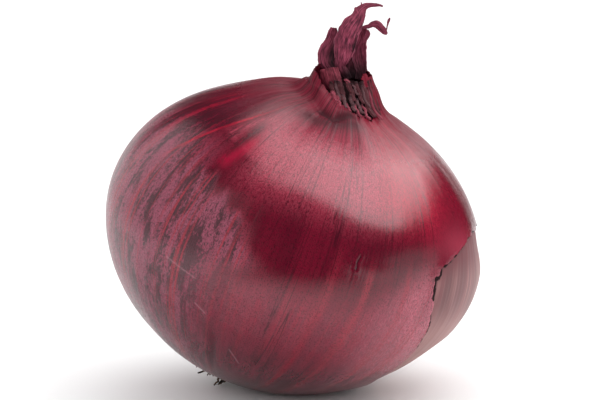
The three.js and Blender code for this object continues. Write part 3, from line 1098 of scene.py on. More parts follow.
    def on_neck(self, azimuth: Values, height: Values, inset: float) -> Points:
        """Place points on the neck's surface, upright.

        Args:
            azimuth: Azimuths in radians.
            height: Heights over the equator.
            inset: Distance inside the outer surface.

        Returns:
            The grown points.
        """
        line = self.outline(self.skin_top, 0.0)
        radius = np.interp(height, line[:, 1], line[:, 0]) - inset
        return self.grow(np.column_stack((radius * np.cos(azimuth), radius * np.sin(azimuth), height)))


@dataclass(frozen=True)
class SkinPlaces:
    """The skin's vertices before it leans, as its marks need them."""

    azimuth: Values
    height: Values
    flat: Points
    growth: Points
    grown: Points
    from_fold: Values


@dataclass(frozen=True)
class SkinMarks:
    """Where the skin is veiled, blotched, nicked and dull, and where light and shade are painted on it: the
    dusky left, the rosy crown, the collar, the fold's shadow and the skin over the tear.

    Heights are over the equator, azimuths in degrees, and turns and spreads in radians. A span holds where
    a change begins and where it ends. Lines on the unrolled skin have the way around and the height.
    """

    veil_middle: float = -163.0
    veil_spread: Span = (0.62, 1.12)
    veil_border: FlatLine = (
        (4.0, -103.5), (6.5, -108.5), (10.0, -111.0), (11.5, -117.0), (13.5, -123.0), (16.0, -134.0),
    )
    veil_ragged: Ripples = Ripples(1.5, 57, 20, 60)
    veil_softness: Span = (-0.1, 0.07)
    veil_border_from: Span = (-2.0, 4.0)
    veil_top: Span = (15.0, 23.0)
    right_flank: Span = (-76.0, -45.0)
    under_left: float = 0.5
    under_right: float = 0.45
    under_lift: float = 9.0
    under_top: Span = (-5.0, 4.0)
    under_thin: float = 0.45
    under_thin_depth: Span = (8.0, 24.0)
    under_blotched: float = 0.3
    rear_azimuth: float = 80.0
    rear_spread: float = 1.7
    rear_strength: float = 0.6
    rear_top: Span = (14.0, 24.0)
    upper_strength: float = 0.9
    upper_spread: Span = (0.45, 0.8)
    upper_top: Span = (22.0, 28.0)
    foot_strength: float = 0.95
    foot_top: Span = (-24.0, -10.0)
    lane_azimuth: float = -131.5
    lane_width: float = 0.055
    lane_foot: Span = (14.0, 18.0)
    lane_top: Span = (24.5, 27.5)
    lane_dark: float = 0.85
    stripes_top: Span = (6.0, 13.0)
    fold_shadow: Line = (
        (-6.6, -14.8, 30.0), (-4.6, -16.2, 29.8), (-0.6, -15.6, 30.3), (3.6, -13.2, 30.8),
    )
    fold_strength: float = 0.9
    fold_width: float = 1.5
    shadow_strength: float = 0.72
    shadow_width: float = 2.3
    foot_shade: float = 0.3
    foot_shade_top: Span = (-22.0, 0.0)
    crescent: FlatLine = ((-51.4, 10.9), (-51.85, 9.6), (-51.6, 8.0))
    crescent_width: float = 0.17
    small_nick: FlatLine = ((-104.2, 3.1), (-104.4, 1.8))
    small_nick_width: float = 0.2
    scratches: tuple[FlatLine, ...] = (
        ((-90.8, -3.9), (-83.1, -5.1)),
        ((-81.7, -10.7), (-78.9, -12.1)),
        ((-71.2, -18.7), (-67.7, -21.8)),
    )
    scratch_width: float = 0.15
    # Painted shade of the dusky left and of the collar, and painted light on the crown.
    dusk_softness: Span = (-0.02, 0.03)
    dusk_reach: Span = (0.95, 1.35)
    dusk_foot: Span = (13.0, 20.0)
    collar_foot: Span = (25.5, 30.5)
    crown_foot: Span = (12.0, 22.0)
    crown_least: float = 0.12
    crown_delay: float = 0.3
    crown_delay_top: Span = (20.0, 23.0)
    crown_softness: float = 0.10
    crown_softer: float = 0.7
    crown_far: Span = (1.65, 2.15)
    crown_far_loss: float = 0.75
    crown_collar: Span = (30.5, 33.5)
    crown_collar_loss: float = 0.45
    dull_left: float = 0.75
    dull_left_top: Span = (-18.0, 2.0)
    dull_front: tuple[Span, Span] = ((-132.0, -108.0), (-80.0, -58.0))
    dull_front_foot: Span = (23.8, 28.6)
    dull_neck: float = 0.95
    dull_neck_foot: Span = (24.7, 31.3)
    dull_fold: float = 1.35
    dull_back: float = 0.98
    dull_back_azimuth: float = -158.0
    dull_back_spread: float = 0.4
    dull_back_foot: Span = (24.5, 28.5)
    glossy_azimuth: float = -134.0
    glossy_spread: float = 0.3
    glossy_top: Span = (27.6, 30.2)
    glossy_rise: float = 3.6
    uneven: Ripples = Ripples(0.12, 34, 10, 110)
    flame: FlatLine = ((-88.6, 22.5), (-90.0, 18.6))
    flame_width: float = 1.5
    # Painted light on the skin over the tear: its middle and its reach.
    tear_light_azimuth: float = -31.0
    tear_light_height: float = 14.5
    tear_light_reach: Span = (0.2, 3.5)

    def right(self, at: SkinPlaces) -> Values:
        """Mark the flank at the right, up to the tear."""
        first, last = np.radians(self.right_flank)
        return ease(at.azimuth, first, last) * (at.azimuth < 0.0)

    def veil(self, at: SkinPlaces) -> Values:
        """Mark the mauve veil at the left, with a ragged border on its upper right.

        Args:
            at: The skin's vertices.

        Returns:
            The veil's strength, from 0 to 1.
        """
        turn = turn_between(at.azimuth, math.radians(self.veil_middle))
        heights, azimuths = np.array(self.veil_border).T
        border = np.radians(np.interp(at.height + self.veil_ragged.at(at.azimuth), heights, azimuths))
        sharp = fall(turn_between(at.azimuth, border), *self.veil_softness) * fall(-turn, *self.veil_spread)
        bordered = ease(at.height, *self.veil_border_from)
        veil = bordered * sharp + (1.0 - bordered) * fall(np.abs(turn), *self.veil_spread)
        return veil * fall(at.height, *self.veil_top)

    def under(self, at: SkinPlaces) -> Values:
        """Mark the thinner veil under the front, which reaches higher at the right."""
        right = self.right(at)
        under = self.under_left + self.under_right * right
        under = under * fall(at.height - self.under_lift * right, *self.under_top)
        return under * (1.0 - self.under_thin * ease(-at.height, *self.under_thin_depth))

    def rear(self, at: SkinPlaces) -> Values:
        """Mark the veil at the back."""
        around = swell(at.azimuth, math.radians(self.rear_azimuth), self.rear_spread)
        return self.rear_strength * around * fall(at.height, *self.rear_top)

    def lane(self, at: SkinPlaces) -> Values:
        """Mark the dark lane between the dusky edge and the broad highlight."""
        lane = spot(turn_between(at.azimuth, math.radians(self.lane_azimuth)), self.lane_width)
        return lane * ease(at.height, *self.lane_foot) * fall(at.height, *self.lane_top)

    def fold(self, at: SkinPlaces) -> Values:
        """Mark the shadow at the foot of the collar's fold."""
        hollow = self.fold_strength * spot(at.from_fold, self.fold_width)
        below = self.shadow_strength * spot(away_from(at.grown, self.fold_shadow), self.shadow_width)
        return np.maximum(hollow, below)

    def wear(self, at: SkinPlaces) -> Points:
        """Give the bloom, the nicks and the scratches.

        Args:
            at: The skin's vertices.

        Returns:
            The three marks of each vertex.
        """
        bloom = np.maximum(np.maximum(self.veil(at), self.under(at)), self.rear(at))
        nick = spot(away_from(at.flat, self.crescent), self.crescent_width)
        nick = np.maximum(nick, spot(away_from(at.flat, self.small_nick), self.small_nick_width))
        away = np.min([away_from(at.flat, line) for line in self.scratches], axis=0)
        return np.column_stack((bloom, nick, spot(away, self.scratch_width)))

    def mottle(self, at: SkinPlaces) -> Points:
        """Give the blotches, where the red stripes show, and the shade.

        Args:
            at: The skin's vertices.

        Returns:
            The three marks of each vertex.
        """
        side = np.abs(turn_between(at.azimuth, math.radians(self.veil_middle)))
        upper = self.upper_strength * fall(side, *self.upper_spread) * fall(at.height, *self.upper_top)
        foot = self.foot_strength * fall(at.height, *self.foot_top)
        under = self.under_blotched * self.under(at)
        blotchy = np.maximum.reduce((self.veil(at), upper, under, foot, self.rear(at), self.lane(at)))
        shade = self.foot_shade * fall(at.height, *self.foot_shade_top) * (1.0 - self.right(at))
        low = fall(at.height, *self.stripes_top)
        return np.column_stack((blotchy, low, np.maximum(self.fold(at), shade)))

    def tone(self, at: SkinPlaces, dusk_edge: Place) -> Points:
        """Give the painted shade of the dusky left, the gathered collar's deeper red darkened with painted
        shade towards the neck, and the painted light of the rosy crown.

        Args:
            at: The skin's vertices.
            dusk_edge: Azimuth, width and lean of the red edge that bounds the dusky left.

        Returns:
            The three tones of each vertex.
        """
        meridian, _, lean = dusk_edge
        edge = math.radians(meridian) + lean * (at.growth[:, 2] - SHOULDER)
        past = turn_between(at.azimuth, edge)
        dusk = ease(-past, *self.dusk_softness) * fall(-past, *self.dusk_reach)
        dusk = dusk * ease(at.height, *self.dusk_foot)
        start = self.crown_delay * fall(at.height, *self.crown_delay_top)
        lit = ease((past - start) / (self.crown_softness + self.crown_softer * start), 0.0, 1.0)
        lit = lit * (1.0 - self.crown_far_loss * ease(past, *self.crown_far))
        lit = lit * (1.0 - self.lane_dark * self.lane(at))
        crown = ease(at.height, *self.crown_foot) * (1.0 - dusk) * np.maximum(lit, self.crown_least)
        crown = crown * (1.0 - self.crown_collar_loss * ease(at.height, *self.crown_collar))
        return np.column_stack((dusk, ease(at.height, *self.collar_foot), crown))

    def sheen(self, at: SkinPlaces) -> Points:
        """Give the lost sheen, the red flame and the painted light on the skin over the tear.

        Args:
            at: The skin's vertices.

        Returns:
            The three marks of each vertex.
        """
        left = self.dull_left * fall(at.height, *self.dull_left_top) * (1.0 - self.right(at))
        first, last = np.radians(self.dull_front)
        front = ease(at.azimuth, *first) * fall(at.azimuth, *last) * ease(at.height, *self.dull_front_foot)
        glossy = swell(at.azimuth, math.radians(self.glossy_azimuth), self.glossy_spread)
        rise = at.height - self.glossy_rise * (glossy * fall(at.height, *self.glossy_top))
        neck = self.dull_neck * ease(rise, *self.dull_neck_foot)
        back = swell(at.azimuth, math.radians(self.dull_back_azimuth), self.dull_back_spread)
        back = self.dull_back * back * ease(at.height, *self.dull_back_foot)
        lost = np.maximum.reduce((neck, front, self.dull_fold * self.fold(at), left, back))
        lost = lost + self.uneven.at(at.azimuth)
        flame = spot(away_from(at.flat, self.flame), self.flame_width)
        # Painted light on the skin over the tear.
        across, upwards = self.tear_light_reach
        tear_light = spot(turn_between(at.azimuth, math.radians(self.tear_light_azimuth)), across)
        tear_light = tear_light * spot(at.height - self.tear_light_height, upwards)
        return np.column_stack((lost, flame, tear_light))


@dataclass
class PaperSkin:
    """The outer skin: torn open at the right, gathered at the neck and open at the root."""

    form: OnionForm
    finish: SkinFinish
    rim: DarkFinish
    marks: SkinMarks
    thickness: float = 0.26
    steps: int = 240
    crisp: float = 50.0
    root_opening: float = 5.2
    flap: float = 1.3
    unrolled: float = 40.0
    tear: FlatLine = (
        (-4, 15.4), (-16, 15.8), (-25.2, 14.8), (-32.1, 13.5), (-39.2, 11.4), (-42.4, 10.6), (-42.9, 9.2),
        (-45.6, 8.6), (-44.6, 4.1), (-42.6, 1.1), (-40, -3.9), (-38.7, -8.9), (-38, -14.4), (-37, -18.9),
        (-31, -22.6), (-16, -25.5), (12, -24), (34, -20), (44, -9), (47, 1), (42, 9), (28, 13.5),
        (12, 13.6),
    )
    tear_points: int = 500
    tear_wander: Wobbles = Wobbles(0.35, 11, 0.07)
    tear_teeth: Wobbles = Wobbles(0.12, 12, 0.5)
    tear_refined: float = 1.4
    tear_snap: float = 1.2
    mark_refined: float = 1.3
    ragged_top: FlatLine = (
        (-14, 60), (-14, 34.9), (-7.6, 36.8), (-6.2, 37.8), (-4.6, 37.4), (-3, 38.4), (-1.6, 38),
        (0.4, 39.2), (1.8, 38.8), (3.2, 39.8), (4.6, 39), (14, 41.6), (14, 60),
    )
    window: FlatLine = (
        (-8, 46), (-7, 38), (-4.5, 35), (-2.6, 33.6), (0.8, 32.8), (2.4, 32.3), (3.6, 32.2),
        (4.6, 32.0), (5.8, 32.2), (7.2, 31.6), (7.8, 32.3), (6.8, 33.9), (5.2, 35.9), (3.5, 37.7),
        (2.6, 39), (2.2, 46),
    )
    window_back: float = -0.8
    collar_foot: float = 30.0
    collar_teeth: Wobbles = Wobbles(0.22, 21, 0.55)
    fold_ridge: Line = (
        (-6.8, -3.5, 36.3), (-5.4, -5.9, 34.0), (-3.8, -8.2, 32.6), (-1.3, -10.6, 31.8), (1.2, -10.8, 31.6),
    )
    fold_foot: Line = (
        (-6.9, -4.2, 33.9), (-5.9, -8.2, 32.1), (-4.0, -12.5, 31.2), (-1.25, -14.3, 30.8),
        (0.2, -12.9, 31.1), (2.4, -10.8, 31.5),
    )
    fold_width: float = 2.1
    fold_smooth: float = 3.5
    fold_foot_depth: float = 0.5
    fold_foot_width: float = 0.9
    fold_from: Span = (28.5, 30.5)
    gaps: tuple[FlatLine, ...] = (
        ((-42.6, 10.6), (-42.7, 9.3)),
        ((-45.0, 8.4), (-44.6, 6.0), (-44.2, 3.6)),
    )
    dull_steps: tuple[Span, ...] = ((0.2, 0.46), (0.4, 0.36), (0.6, 0.26), (0.8, 0.17), (0.95, 0.08))
    pleats: Ripples = Ripples(0.07, 31, 22, 46)
    pleats_radius: float = 9.0
    gathered: Span = (22.0, 31.0)
    waves: Ripples = Ripples(0.13, 32, 5, 19)
    lines: Ripples = Ripples(0.018, 33, 50, 90)
    waves_foot: Span = (-33.0, -24.0)
    sheath_width: float = 0.55
    sheath_azimuth: float = 0.1
    sheath_spread: float = 0.9
    sheath_foot: Span = (29.5, 31.5)
    sheath_top: Span = (34.0, 37.0)
    sheath_thinning: float = 0.7
    flare: float = 1.5
    flare_radius: float = 8.2
    flare_width: float = 2.6
    flare_azimuth: float = -2.95
    flare_spread: float = 1.3
    flare_foot: Span = (27.0, 29.0)
    curl_width: float = 1.6
    curl_rise: float = 0.08
    gap_rise: float = 0.3
    gap_reach: float = 2.2
    lip_rise: float = 0.06
    lip_away: float = 0.5
    lip_width: float = 0.35
    lip_slit: float = 0.2

    def __post_init__(self) -> None:
        """Trace the outline and the torn edge."""
        self.outline = self.form.outline(self.form.skin_top, 0.0)
        self.torn = self.torn_edge()

    def build(self) -> Piece:
        """Spin, cut, crease and thicken the skin.

        Returns:
            The closed skin.
        """
        piece = Bench.revolve("paper_skin", self.form.rows(self.outline, self.root_opening), self.steps)
        self.refine(piece)
        self.cut(piece)
        self.snap(piece)
        self.record(piece)
        self.shape(piece)
        self.sheet_faces = len(piece.data.polygons)
        Bench.thicken(piece, self.thickness, -1.0)
        Bench.smooth(piece, self.crisp)
        return piece

    def flat(self, points: Points) -> Points:
        """Unroll points of the spun form to the way around and the height."""
        azimuth = np.arctan2(points[:, 1], points[:, 0])
        return np.column_stack((azimuth * self.unrolled, points[:, 2]))

    def gap(self, flat: Points) -> Values:
        """Give how far unrolled points are from the places where the torn edge stands off."""
        turn = np.array((math.radians(self.unrolled), 1.0))
        return np.min([away_from(flat, np.array(line) * turn) for line in self.gaps], axis=0)

    def torn_edge(self) -> Points:
        """Trace the tear's uneven edge on the unrolled skin.

        Returns:
            Corners of the closed edge.
        """
        corners = np.array(self.tear, dtype=float)
        corners[:, 0] = np.radians(corners[:, 0]) * self.unrolled
        closed = np.vstack((corners, corners[:1]))
        legs = np.linalg.norm(np.diff(closed, axis=0), axis=1)
        run = np.concatenate(([0.0], np.cumsum(legs)))
        at = np.linspace(0.0, run[-1], self.tear_points)
        line = np.column_stack((np.interp(at, run, closed[:, 0]), np.interp(at, run, closed[:, 1])))
        inward = np.gradient(line, axis=0)[:, ::-1] * (1.0, -1.0)
        inward /= np.linalg.norm(inward, axis=1, keepdims=True)
        line += inward * (self.tear_wander.at(at) + self.tear_teeth.at(at))[:, None]
        line[-1] = line[0]
        return line

    def refine(self, piece: Piece) -> None:
        """Divide the faces along the tear and around the nicks and scratches.

        Args:
            piece: The spun skin.
        """
        flat = self.flat(Bench.face_centres(piece))
        Bench.divide(piece, away_from(flat, self.torn) < self.tear_refined, 2)
        flat = self.flat(Bench.face_centres(piece))
        close = np.zeros(len(flat), dtype=bool)
        for line in (self.marks.crescent, self.marks.small_nick, *self.marks.scratches):
            close |= away_from(flat, line) < self.mark_refined
        Bench.divide(piece, close, 4)

    def cut(self, piece: Piece) -> None:
        """Take away the tear, the open front of the collar and all above its ragged top.

        Args:
            piece: The refined skin.
        """
        middles = Bench.face_centres(piece)
        gone = inside(self.flat(middles), self.torn)
        grown = self.form.grow(middles, self.flap)
        front = grown[:, [0, 2]]
        teeth = self.collar_teeth.at(front[:, 0])
        front = front + np.column_stack((np.zeros_like(teeth), teeth))
        collar = grown[:, 2] > self.collar_foot
        gone |= collar & inside(front, np.array(self.ragged_top, dtype=float))
        open_front = inside(front, np.array(self.window, dtype=float)) & (grown[:, 1] < self.window_back)
        Bench.remove(piece, gone | (collar & open_front))

    def snap(self, piece: Piece) -> None:
        """Move the vertices on the tear's edge onto its line.

        Args:
            piece: The cut skin.
        """
        points = Bench.read(piece)
        rim = Bench.rim(piece)
        place, away = nearest_on_line(self.flat(points[rim]), self.torn)
        near = away < self.tear_snap
        azimuth = place[near, 0] / self.unrolled
        radius = np.interp(place[near, 1], self.outline[:, 1], self.outline[:, 0])
        moved = np.column_stack((radius * np.cos(azimuth), radius * np.sin(azimuth), place[near, 1]))
        points[rim[near]] = moved
        Bench.write(piece, points)

    def record(self, piece: Piece) -> None:
        """Store on the skin how it grew and where its marks are.

        Args:
            piece: The cut skin, before it is grown.
        """
        points = Bench.read(piece)
        flat = self.flat(points)
        grown = self.form.grow(points, self.flap)
        at = SkinPlaces(
            azimuth=flat[:, 0] / self.unrolled,
            height=flat[:, 1],
            flat=flat,
            growth=self.form.growth(points, self.outline),
            grown=grown,
            from_fold=away_from(grown, self.fold_foot[2:]),
        )
        Bench.trait(piece, Trait.GROWTH, at.growth)
        Bench.trait(piece, Trait.MOTTLE, self.marks.mottle(at))
        Bench.trait(piece, Trait.WEAR, self.marks.wear(at))
        Bench.trait(piece, Trait.TONE, self.marks.tone(at, self.finish.dusk_edge))
        Bench.trait(piece, Trait.SHEEN, self.marks.sheen(at))

    def shape(self, piece: Piece) -> None:
        """Grow the spun form, then crease it, lift the torn edge and stand it on its flat spot.

        Args:
            piece: The cut skin, before it is grown.
        """
        points = Bench.read(piece)
        flat = self.flat(points)
        azimuth, height = flat[:, 0] / self.unrolled, flat[:, 1]
        radius = np.hypot(points[:, 0], points[:, 1])
        grown = self.form.grow(points, self.flap)
        Bench.write(piece, grown)
        out = Bench.normals(piece)
        gathered = ease(height, *self.gathered)
        pleats = self.pleats.at(azimuth) * gathered * np.minimum(1.0, radius / self.pleats_radius)
        body = (1.0 - gathered) * ease(height, *self.waves_foot)
        waves = self.waves.at(azimuth) * body
        lines = self.lines.at(azimuth) * body
        ridge = away_from(grown, self.fold_ridge)
        foot = away_from(grown, self.fold_foot)
        fold = spot(ridge, self.fold_width) - self.fold_foot_depth * spot(foot, self.fold_foot_width)
        fold = fold * ease(height, *self.fold_from)
        pleats = pleats * (1.0 - spot(ridge, self.fold_smooth))
        rise = pleats + waves + lines + fold + self.sheath(azimuth, height)
        rise = rise + self.flared(azimuth, height, radius) + self.curl(flat) + self.lip(flat)
        stood = self.form.stand(grown + out * rise[:, None])
        stood[:, 2] = np.maximum(stood[:, 2], 0.0)
        Bench.write(piece, stood)

    def sheath(self, azimuth: Values, height: Values) -> Values:
        """Give how far the collar stands out at the right."""
        around = swell(azimuth, self.sheath_azimuth, self.sheath_spread)
        sheath = self.sheath_width * around * ease(height, *self.sheath_foot)
        return sheath * (1.0 - self.sheath_thinning * ease(height, *self.sheath_top))

    def flared(self, azimuth: Values, height: Values, radius: Values) -> Values:
        """Give how far the skin flares where it runs up into the neck at the left."""
        around = swell(azimuth, self.flare_azimuth, self.flare_spread)
        flare = spot(radius - self.flare_radius, self.flare_width) * around * ease(height, *self.flare_foot)
        return self.flare * flare

    def curl(self, flat: Points) -> Values:
        """Give how far the torn edge curls up, most where it stands off."""
        gap = self.curl_rise + self.gap_rise * spot(self.gap(flat), self.gap_reach)
        return spot(away_from(flat, self.torn), self.curl_width) * gap

    def lip(self, flat: Points) -> Values:
        """Give the raised lip of the crescent nick and the slit in it."""
        away = away_from(flat, self.marks.crescent)
        lip = spot(away - self.lip_away, self.lip_width)
        return self.lip_rise * lip - self.lip_rise * spot(away, self.lip_slit)

    def dress(self, piece: Piece) -> None:
        """Give the skin its finish, duller at neck and foot and with near black painted shade on the torn
        edge, and hand it over.

        Args:
            piece: The closed skin.
        """
        lost = Bench.over_faces(piece, Bench.recall(piece, Trait.SHEEN)[:, 0])
        edge = np.arange(len(piece.data.polygons)) >= 2 * self.sheet_faces
        choice = np.zeros(len(lost), dtype=np.int32)
        materials = [self.finish.material()]
        for number, (level, gloss) in enumerate(self.dull_steps):
            dull = replace(self.finish, name=f"dull_skin_{number + 1}", gloss=gloss)
            choice[lost > level] = len(materials)
            materials.append(dull.material())
        # Painted shade: the torn edge's rim faces take the near black finish.
        choice[edge & (lost < self.dull_steps[-1][0])] = len(materials)
        materials.append(self.rim.material())
        Bench.paint(piece, materials, choice)
        Bench.hand_over(piece, Slot.OUTER_SKIN, "outer_skin")


@dataclass
class BareBulb:
    """The closed bulb under the skin, seen in the tear and, ribbed, in the open collar.

    Azimuths and spreads are in radians.
    """

    form: OnionForm
    finish: LayerFinish
    core: DarkFinish
    skin: PaperSkin
    inset: float = 0.5
    steps: int = 192
    neck_top: float = 36.2
    neck_foot: Span = (29.0, 31.5)
    cap_shares: tuple[float, ...] = (0.7, 0.4, 0.0)
    cap_rise: float = 0.3
    tear_refined: float = 2.2
    # Where painted shadow falls by the torn edge, and where painted sheen makes the layer paler.
    hidden: Span = (-0.5, -0.1)
    shadow_shift: float = 0.45
    shadow_low: Span = (-3.0, 6.0)
    shadow_edge: Span = (0.55, 0.95)
    gap_edge: Span = (1.2, 1.7)
    light_spread: float = 0.9
    light_low: Span = (-5.0, 6.0)
    rosy_width: float = 3.3
    rosy_foot: Span = (-6.0, 8.0)
    rosy_top: Span = (6.5, 12.0)
    dark_share: float = 0.5
    ribs: int = 12
    rib_depth: float = 0.45
    rib_from: float = 30.5
    rib_to: float = 33.0
    rib_radius: float = 1.0
    fine_lines: Ripples = Ripples(0.03, 41, 40, 80)
    fine_foot: Span = (-33.0, -24.0)
    swollen: float = 1.2
    swollen_azimuth: float = 0.03
    swollen_spread: float = 0.7
    swollen_middle: float = -1.0
    swollen_reach: Span = (6.0, 13.0)
    swollen_radius: float = 4.0
    floor_gap: float = 0.25

    def build(self) -> Piece:
        """Spin the closed bulb, note its tones, rib its neck and stand it.

        Returns:
            The closed bulb.
        """
        outline = self.form.outline(self.neck_top, self.inset)
        rows = self.form.rows(outline, 0.0)
        radius, top = rows[-1]
        cap = [(radius * share, top + self.cap_rise * (1.0 - share)) for share in self.cap_shares]
        piece = Bench.revolve("bare_bulb", np.vstack((rows, cap)), self.steps)
        flat = self.skin.flat(Bench.face_centres(piece))
        Bench.divide(piece, away_from(flat, self.skin.torn) < self.tear_refined, 4)
        points = Bench.read(piece)
        Bench.trait(piece, Trait.GROWTH, self.form.growth(points, outline))
        self.record(piece, points)
        Bench.write(piece, self.shaped(points))
        Bench.smooth(piece)
        return piece

    def record(self, piece: Piece, points: Points) -> None:
        """Store where the layer is paler with painted sheen, where painted shadow falls by the torn edge,
        and where it is rosy.

        Args:
            piece: The spun bulb.
            points: Its vertices.
        """
        flat = self.skin.flat(points)
        azimuth, height = np.arctan2(points[:, 1], points[:, 0]), points[:, 2]
        edge = away_from(flat, self.skin.torn)
        hidden = ease(azimuth, *self.hidden)
        away = edge - self.shadow_shift * ease(-height, *self.shadow_low) * (1.0 - hidden)
        away = away + self.shadow_shift * hidden
        gap = np.maximum(fall(away, *self.shadow_edge), fall(self.skin.gap(flat), *self.gap_edge))
        # Painted sheen: paler towards the right edge of the tear and the bottom.
        light = np.maximum(hidden * swell(azimuth, 0.0, self.light_spread), ease(-height, *self.light_low))
        Bench.trait(piece, Trait.TONE, np.column_stack((light, gap, ease(height, *self.neck_foot))))
        near = spot(edge, self.rosy_width) * ease(height, *self.rosy_foot)
        rosy = np.maximum(near, ease(height, *self.rosy_top))
        Bench.trait(piece, Trait.MOTTLE, np.column_stack((rosy, rosy, rosy)))

    def shaped(self, points: Points) -> Points:
        """Rib the neck, swell the bulb in the tear and stand it just over the table.

        Args:
            points: Vertices of the spun bulb.

        Returns:
            The vertices in place.
        """
        azimuth, height = np.arctan2(points[:, 1], points[:, 0]), points[:, 2]
        radius = np.hypot(points[:, 0], points[:, 1])
        wave = 0.5 - 0.5 * np.cos(self.ribs * azimuth)
        groove = self.rib_depth * ease(height, self.rib_from, self.rib_to) * wave
        ribbed = np.maximum(0.0, 1.0 - groove / np.maximum(radius, self.rib_radius))
        fine = self.fine_lines.at(azimuth) * fall(height, *self.neck_foot) * ease(height, *self.fine_foot)
        bulge = self.swollen * swell(azimuth, self.swollen_azimuth, self.swollen_spread)
        bulge = bulge * fall(np.abs(height - self.swollen_middle), *self.swollen_reach)
        swollen = 1.0 + (fine + bulge) / np.maximum(radius, self.swollen_radius)
        spun = np.column_stack((points[:, :2] * ribbed[:, None] * swollen[:, None], height))
        stood = self.form.stand(self.form.grow(spun))
        stood[:, 2] = np.maximum(stood[:, 2], self.skin.thickness + self.floor_gap)
        return stood

    def dress(self, piece: Piece) -> None:
        """Give the bulb its finish, with near black painted shade on the neck and along the torn edge, and
        hand it over.
        """
        tone = Bench.recall(piece, Trait.TONE)
        # Painted shade: near black on the neck under the fibres and along the torn edge.
        dark = Bench.over_faces(piece, tone[:, 1:].max(axis=1)) > self.dark_share
        Bench.paint(piece, (self.finish.material(), self.core.material()), dark.astype(np.int32))
        Bench.hand_over(piece, Slot.INNER_LAYER, "bulb")


@dataclass(frozen=True)
class Blade:
    """One dry sheet, bent along stations of place, visible span and roll in radians."""

    stations: tuple[Station, ...]
    seed: int
    columns: int = 14
    rows: int = 46
    ragged: float = 0.10
    crinkle: float = 0.11
    thickness: float = 0.26
    # Painted shade: the share of the length from the foot, and the strength on the right side where a blade
    # in front shades it.
    dark_foot: float = 0.30
    dark_side: float = 0.0
    look_ahead: float = 0.01
    least_span: float = 0.12
    least_roll: float = 0.2
    torn_pitch: float = 0.16
    line_pitch: float = 1.5
    line_wander: float = 0.3
    wander_pitch: float = 0.08
    line_depth: float = 0.55
    buckle_pitch: float = 0.11
    buckle_slant: float = 3.0
    buckle_depth: float = 1.1
    creased_span: float = 2.0
    foot_darkness: float = 0.9
    foot_from: float = 0.04
    foot_least: float = 0.05
    side_across: Span = (-0.1, 0.35)
    side_along: Span = (0.55, 0.95)

    def build(self, origin: Points) -> Piece:
        """Bend a grid into the sheet and thicken it.

        Args:
            origin: Where the stations are measured from.

        Returns:
            The closed, softened sheet.
        """
        piece = Bench.grid("blade", self.columns, self.rows)
        flat = Bench.read(piece) * MM
        side, along = flat[:, 0], flat[:, 1] + 0.5
        stations = np.array(self.stations, dtype=float)
        reach = np.linalg.norm(np.diff(stations[:, :3], axis=0), axis=1).sum()
        run_along = along * reach
        way = smooth_path(stations, along)
        ahead = smooth_path(stations, np.minimum(along + self.look_ahead, 1.0))
        behind = smooth_path(stations, np.maximum(along - self.look_ahead, 0.0))
        run = ahead[:, :3] - behind[:, :3]
        run /= np.linalg.norm(run, axis=1, keepdims=True)
        across = np.cross(run, (0.0, -1.0, 0.0))
        across /= np.linalg.norm(across, axis=1, keepdims=True)
        front = np.cross(across, run)
        span, roll = np.maximum(way[:, 3], self.least_span), way[:, 4]
        roll = np.where(np.abs(roll) < self.least_roll, self.least_roll, roll)
        bend = span / (2.0 * np.sin(roll / 2.0))
        edges = [wobble(run_along, self.seed + number, self.torn_pitch) for number in (0, 1)]
        torn = np.where(side > 0.0, *edges)
        angle = side * roll * (1.0 + self.ragged * torn * (2.0 * np.abs(side)))
        out = across * np.sin(angle)[:, None] + front * np.cos(angle)[:, None]
        wander = self.line_wander * wobble(run_along, self.seed + 2, self.wander_pitch)
        lines = np.sin(FULL_TURN * (side * span * self.line_pitch + wander))
        buckle = wobble(run_along + self.buckle_slant * side, self.seed + 3, self.buckle_pitch)
        crease = self.crinkle * (self.line_depth * lines + self.buckle_depth * buckle)
        crease = crease * np.minimum(1.0, span / self.creased_span)
        turned = across * (bend * np.sin(angle))[:, None] + front * (bend * (np.cos(angle) - 1.0))[:, None]
        points = way[:, :3] + turned + out * crease[:, None]
        Bench.write(piece, points + origin)
        # Painted shade: dark at the foot, and on the right side where a blade in front shades it.
        foot = self.foot_darkness * fall(along, self.foot_from, max(self.dark_foot, self.foot_least))
        shaded = self.dark_side * ease(side, *self.side_across) * fall(along, *self.side_along)
        blade = np.column_stack((side, run_along + self.seed, np.maximum(foot, shaded)))
        Bench.trait(piece, Trait.BLADE, blade)
        Bench.thicken(piece, self.thickness, 0.0)
        Bench.soften(piece, 1)
        return piece


@dataclass
class DrySheets:
    """Blades that make up one dry leaf or sheath at the neck."""

    form: OnionForm
    name: str
    blades: tuple[Blade, ...]
    finish: LeafFinish
    slot: Slot
    nodes: tuple[str, ...] = ()
    mouth: float = 38.6

    def build(self) -> Piece:
        """Build the blades on the neck's mouth and join them.

        Returns:
            The joined sheets.
        """
        right, back = self.form.axis(np.array([self.mouth]))
        origin = self.form.stand(np.array([[right[0], back[0], self.mouth]]))[0]
        piece = Bench.join(self.name, [blade.build(origin) for blade in self.blades])
        Bench.smooth(piece)
        return piece

    def dress(self, piece: Piece) -> None:
        """Give the sheets their finish and hand them over."""
        piece.data.materials.append(self.finish.material())
        Bench.hand_over(piece, self.slot, *self.nodes)


@dataclass(frozen=True)
class Strip:
    """One fibre on the neck: azimuths and heights of its two ends, its width and its lift."""

    top_azimuth: float
    top: float
    foot_azimuth: float
    foot: float
    width: float
    lift: float


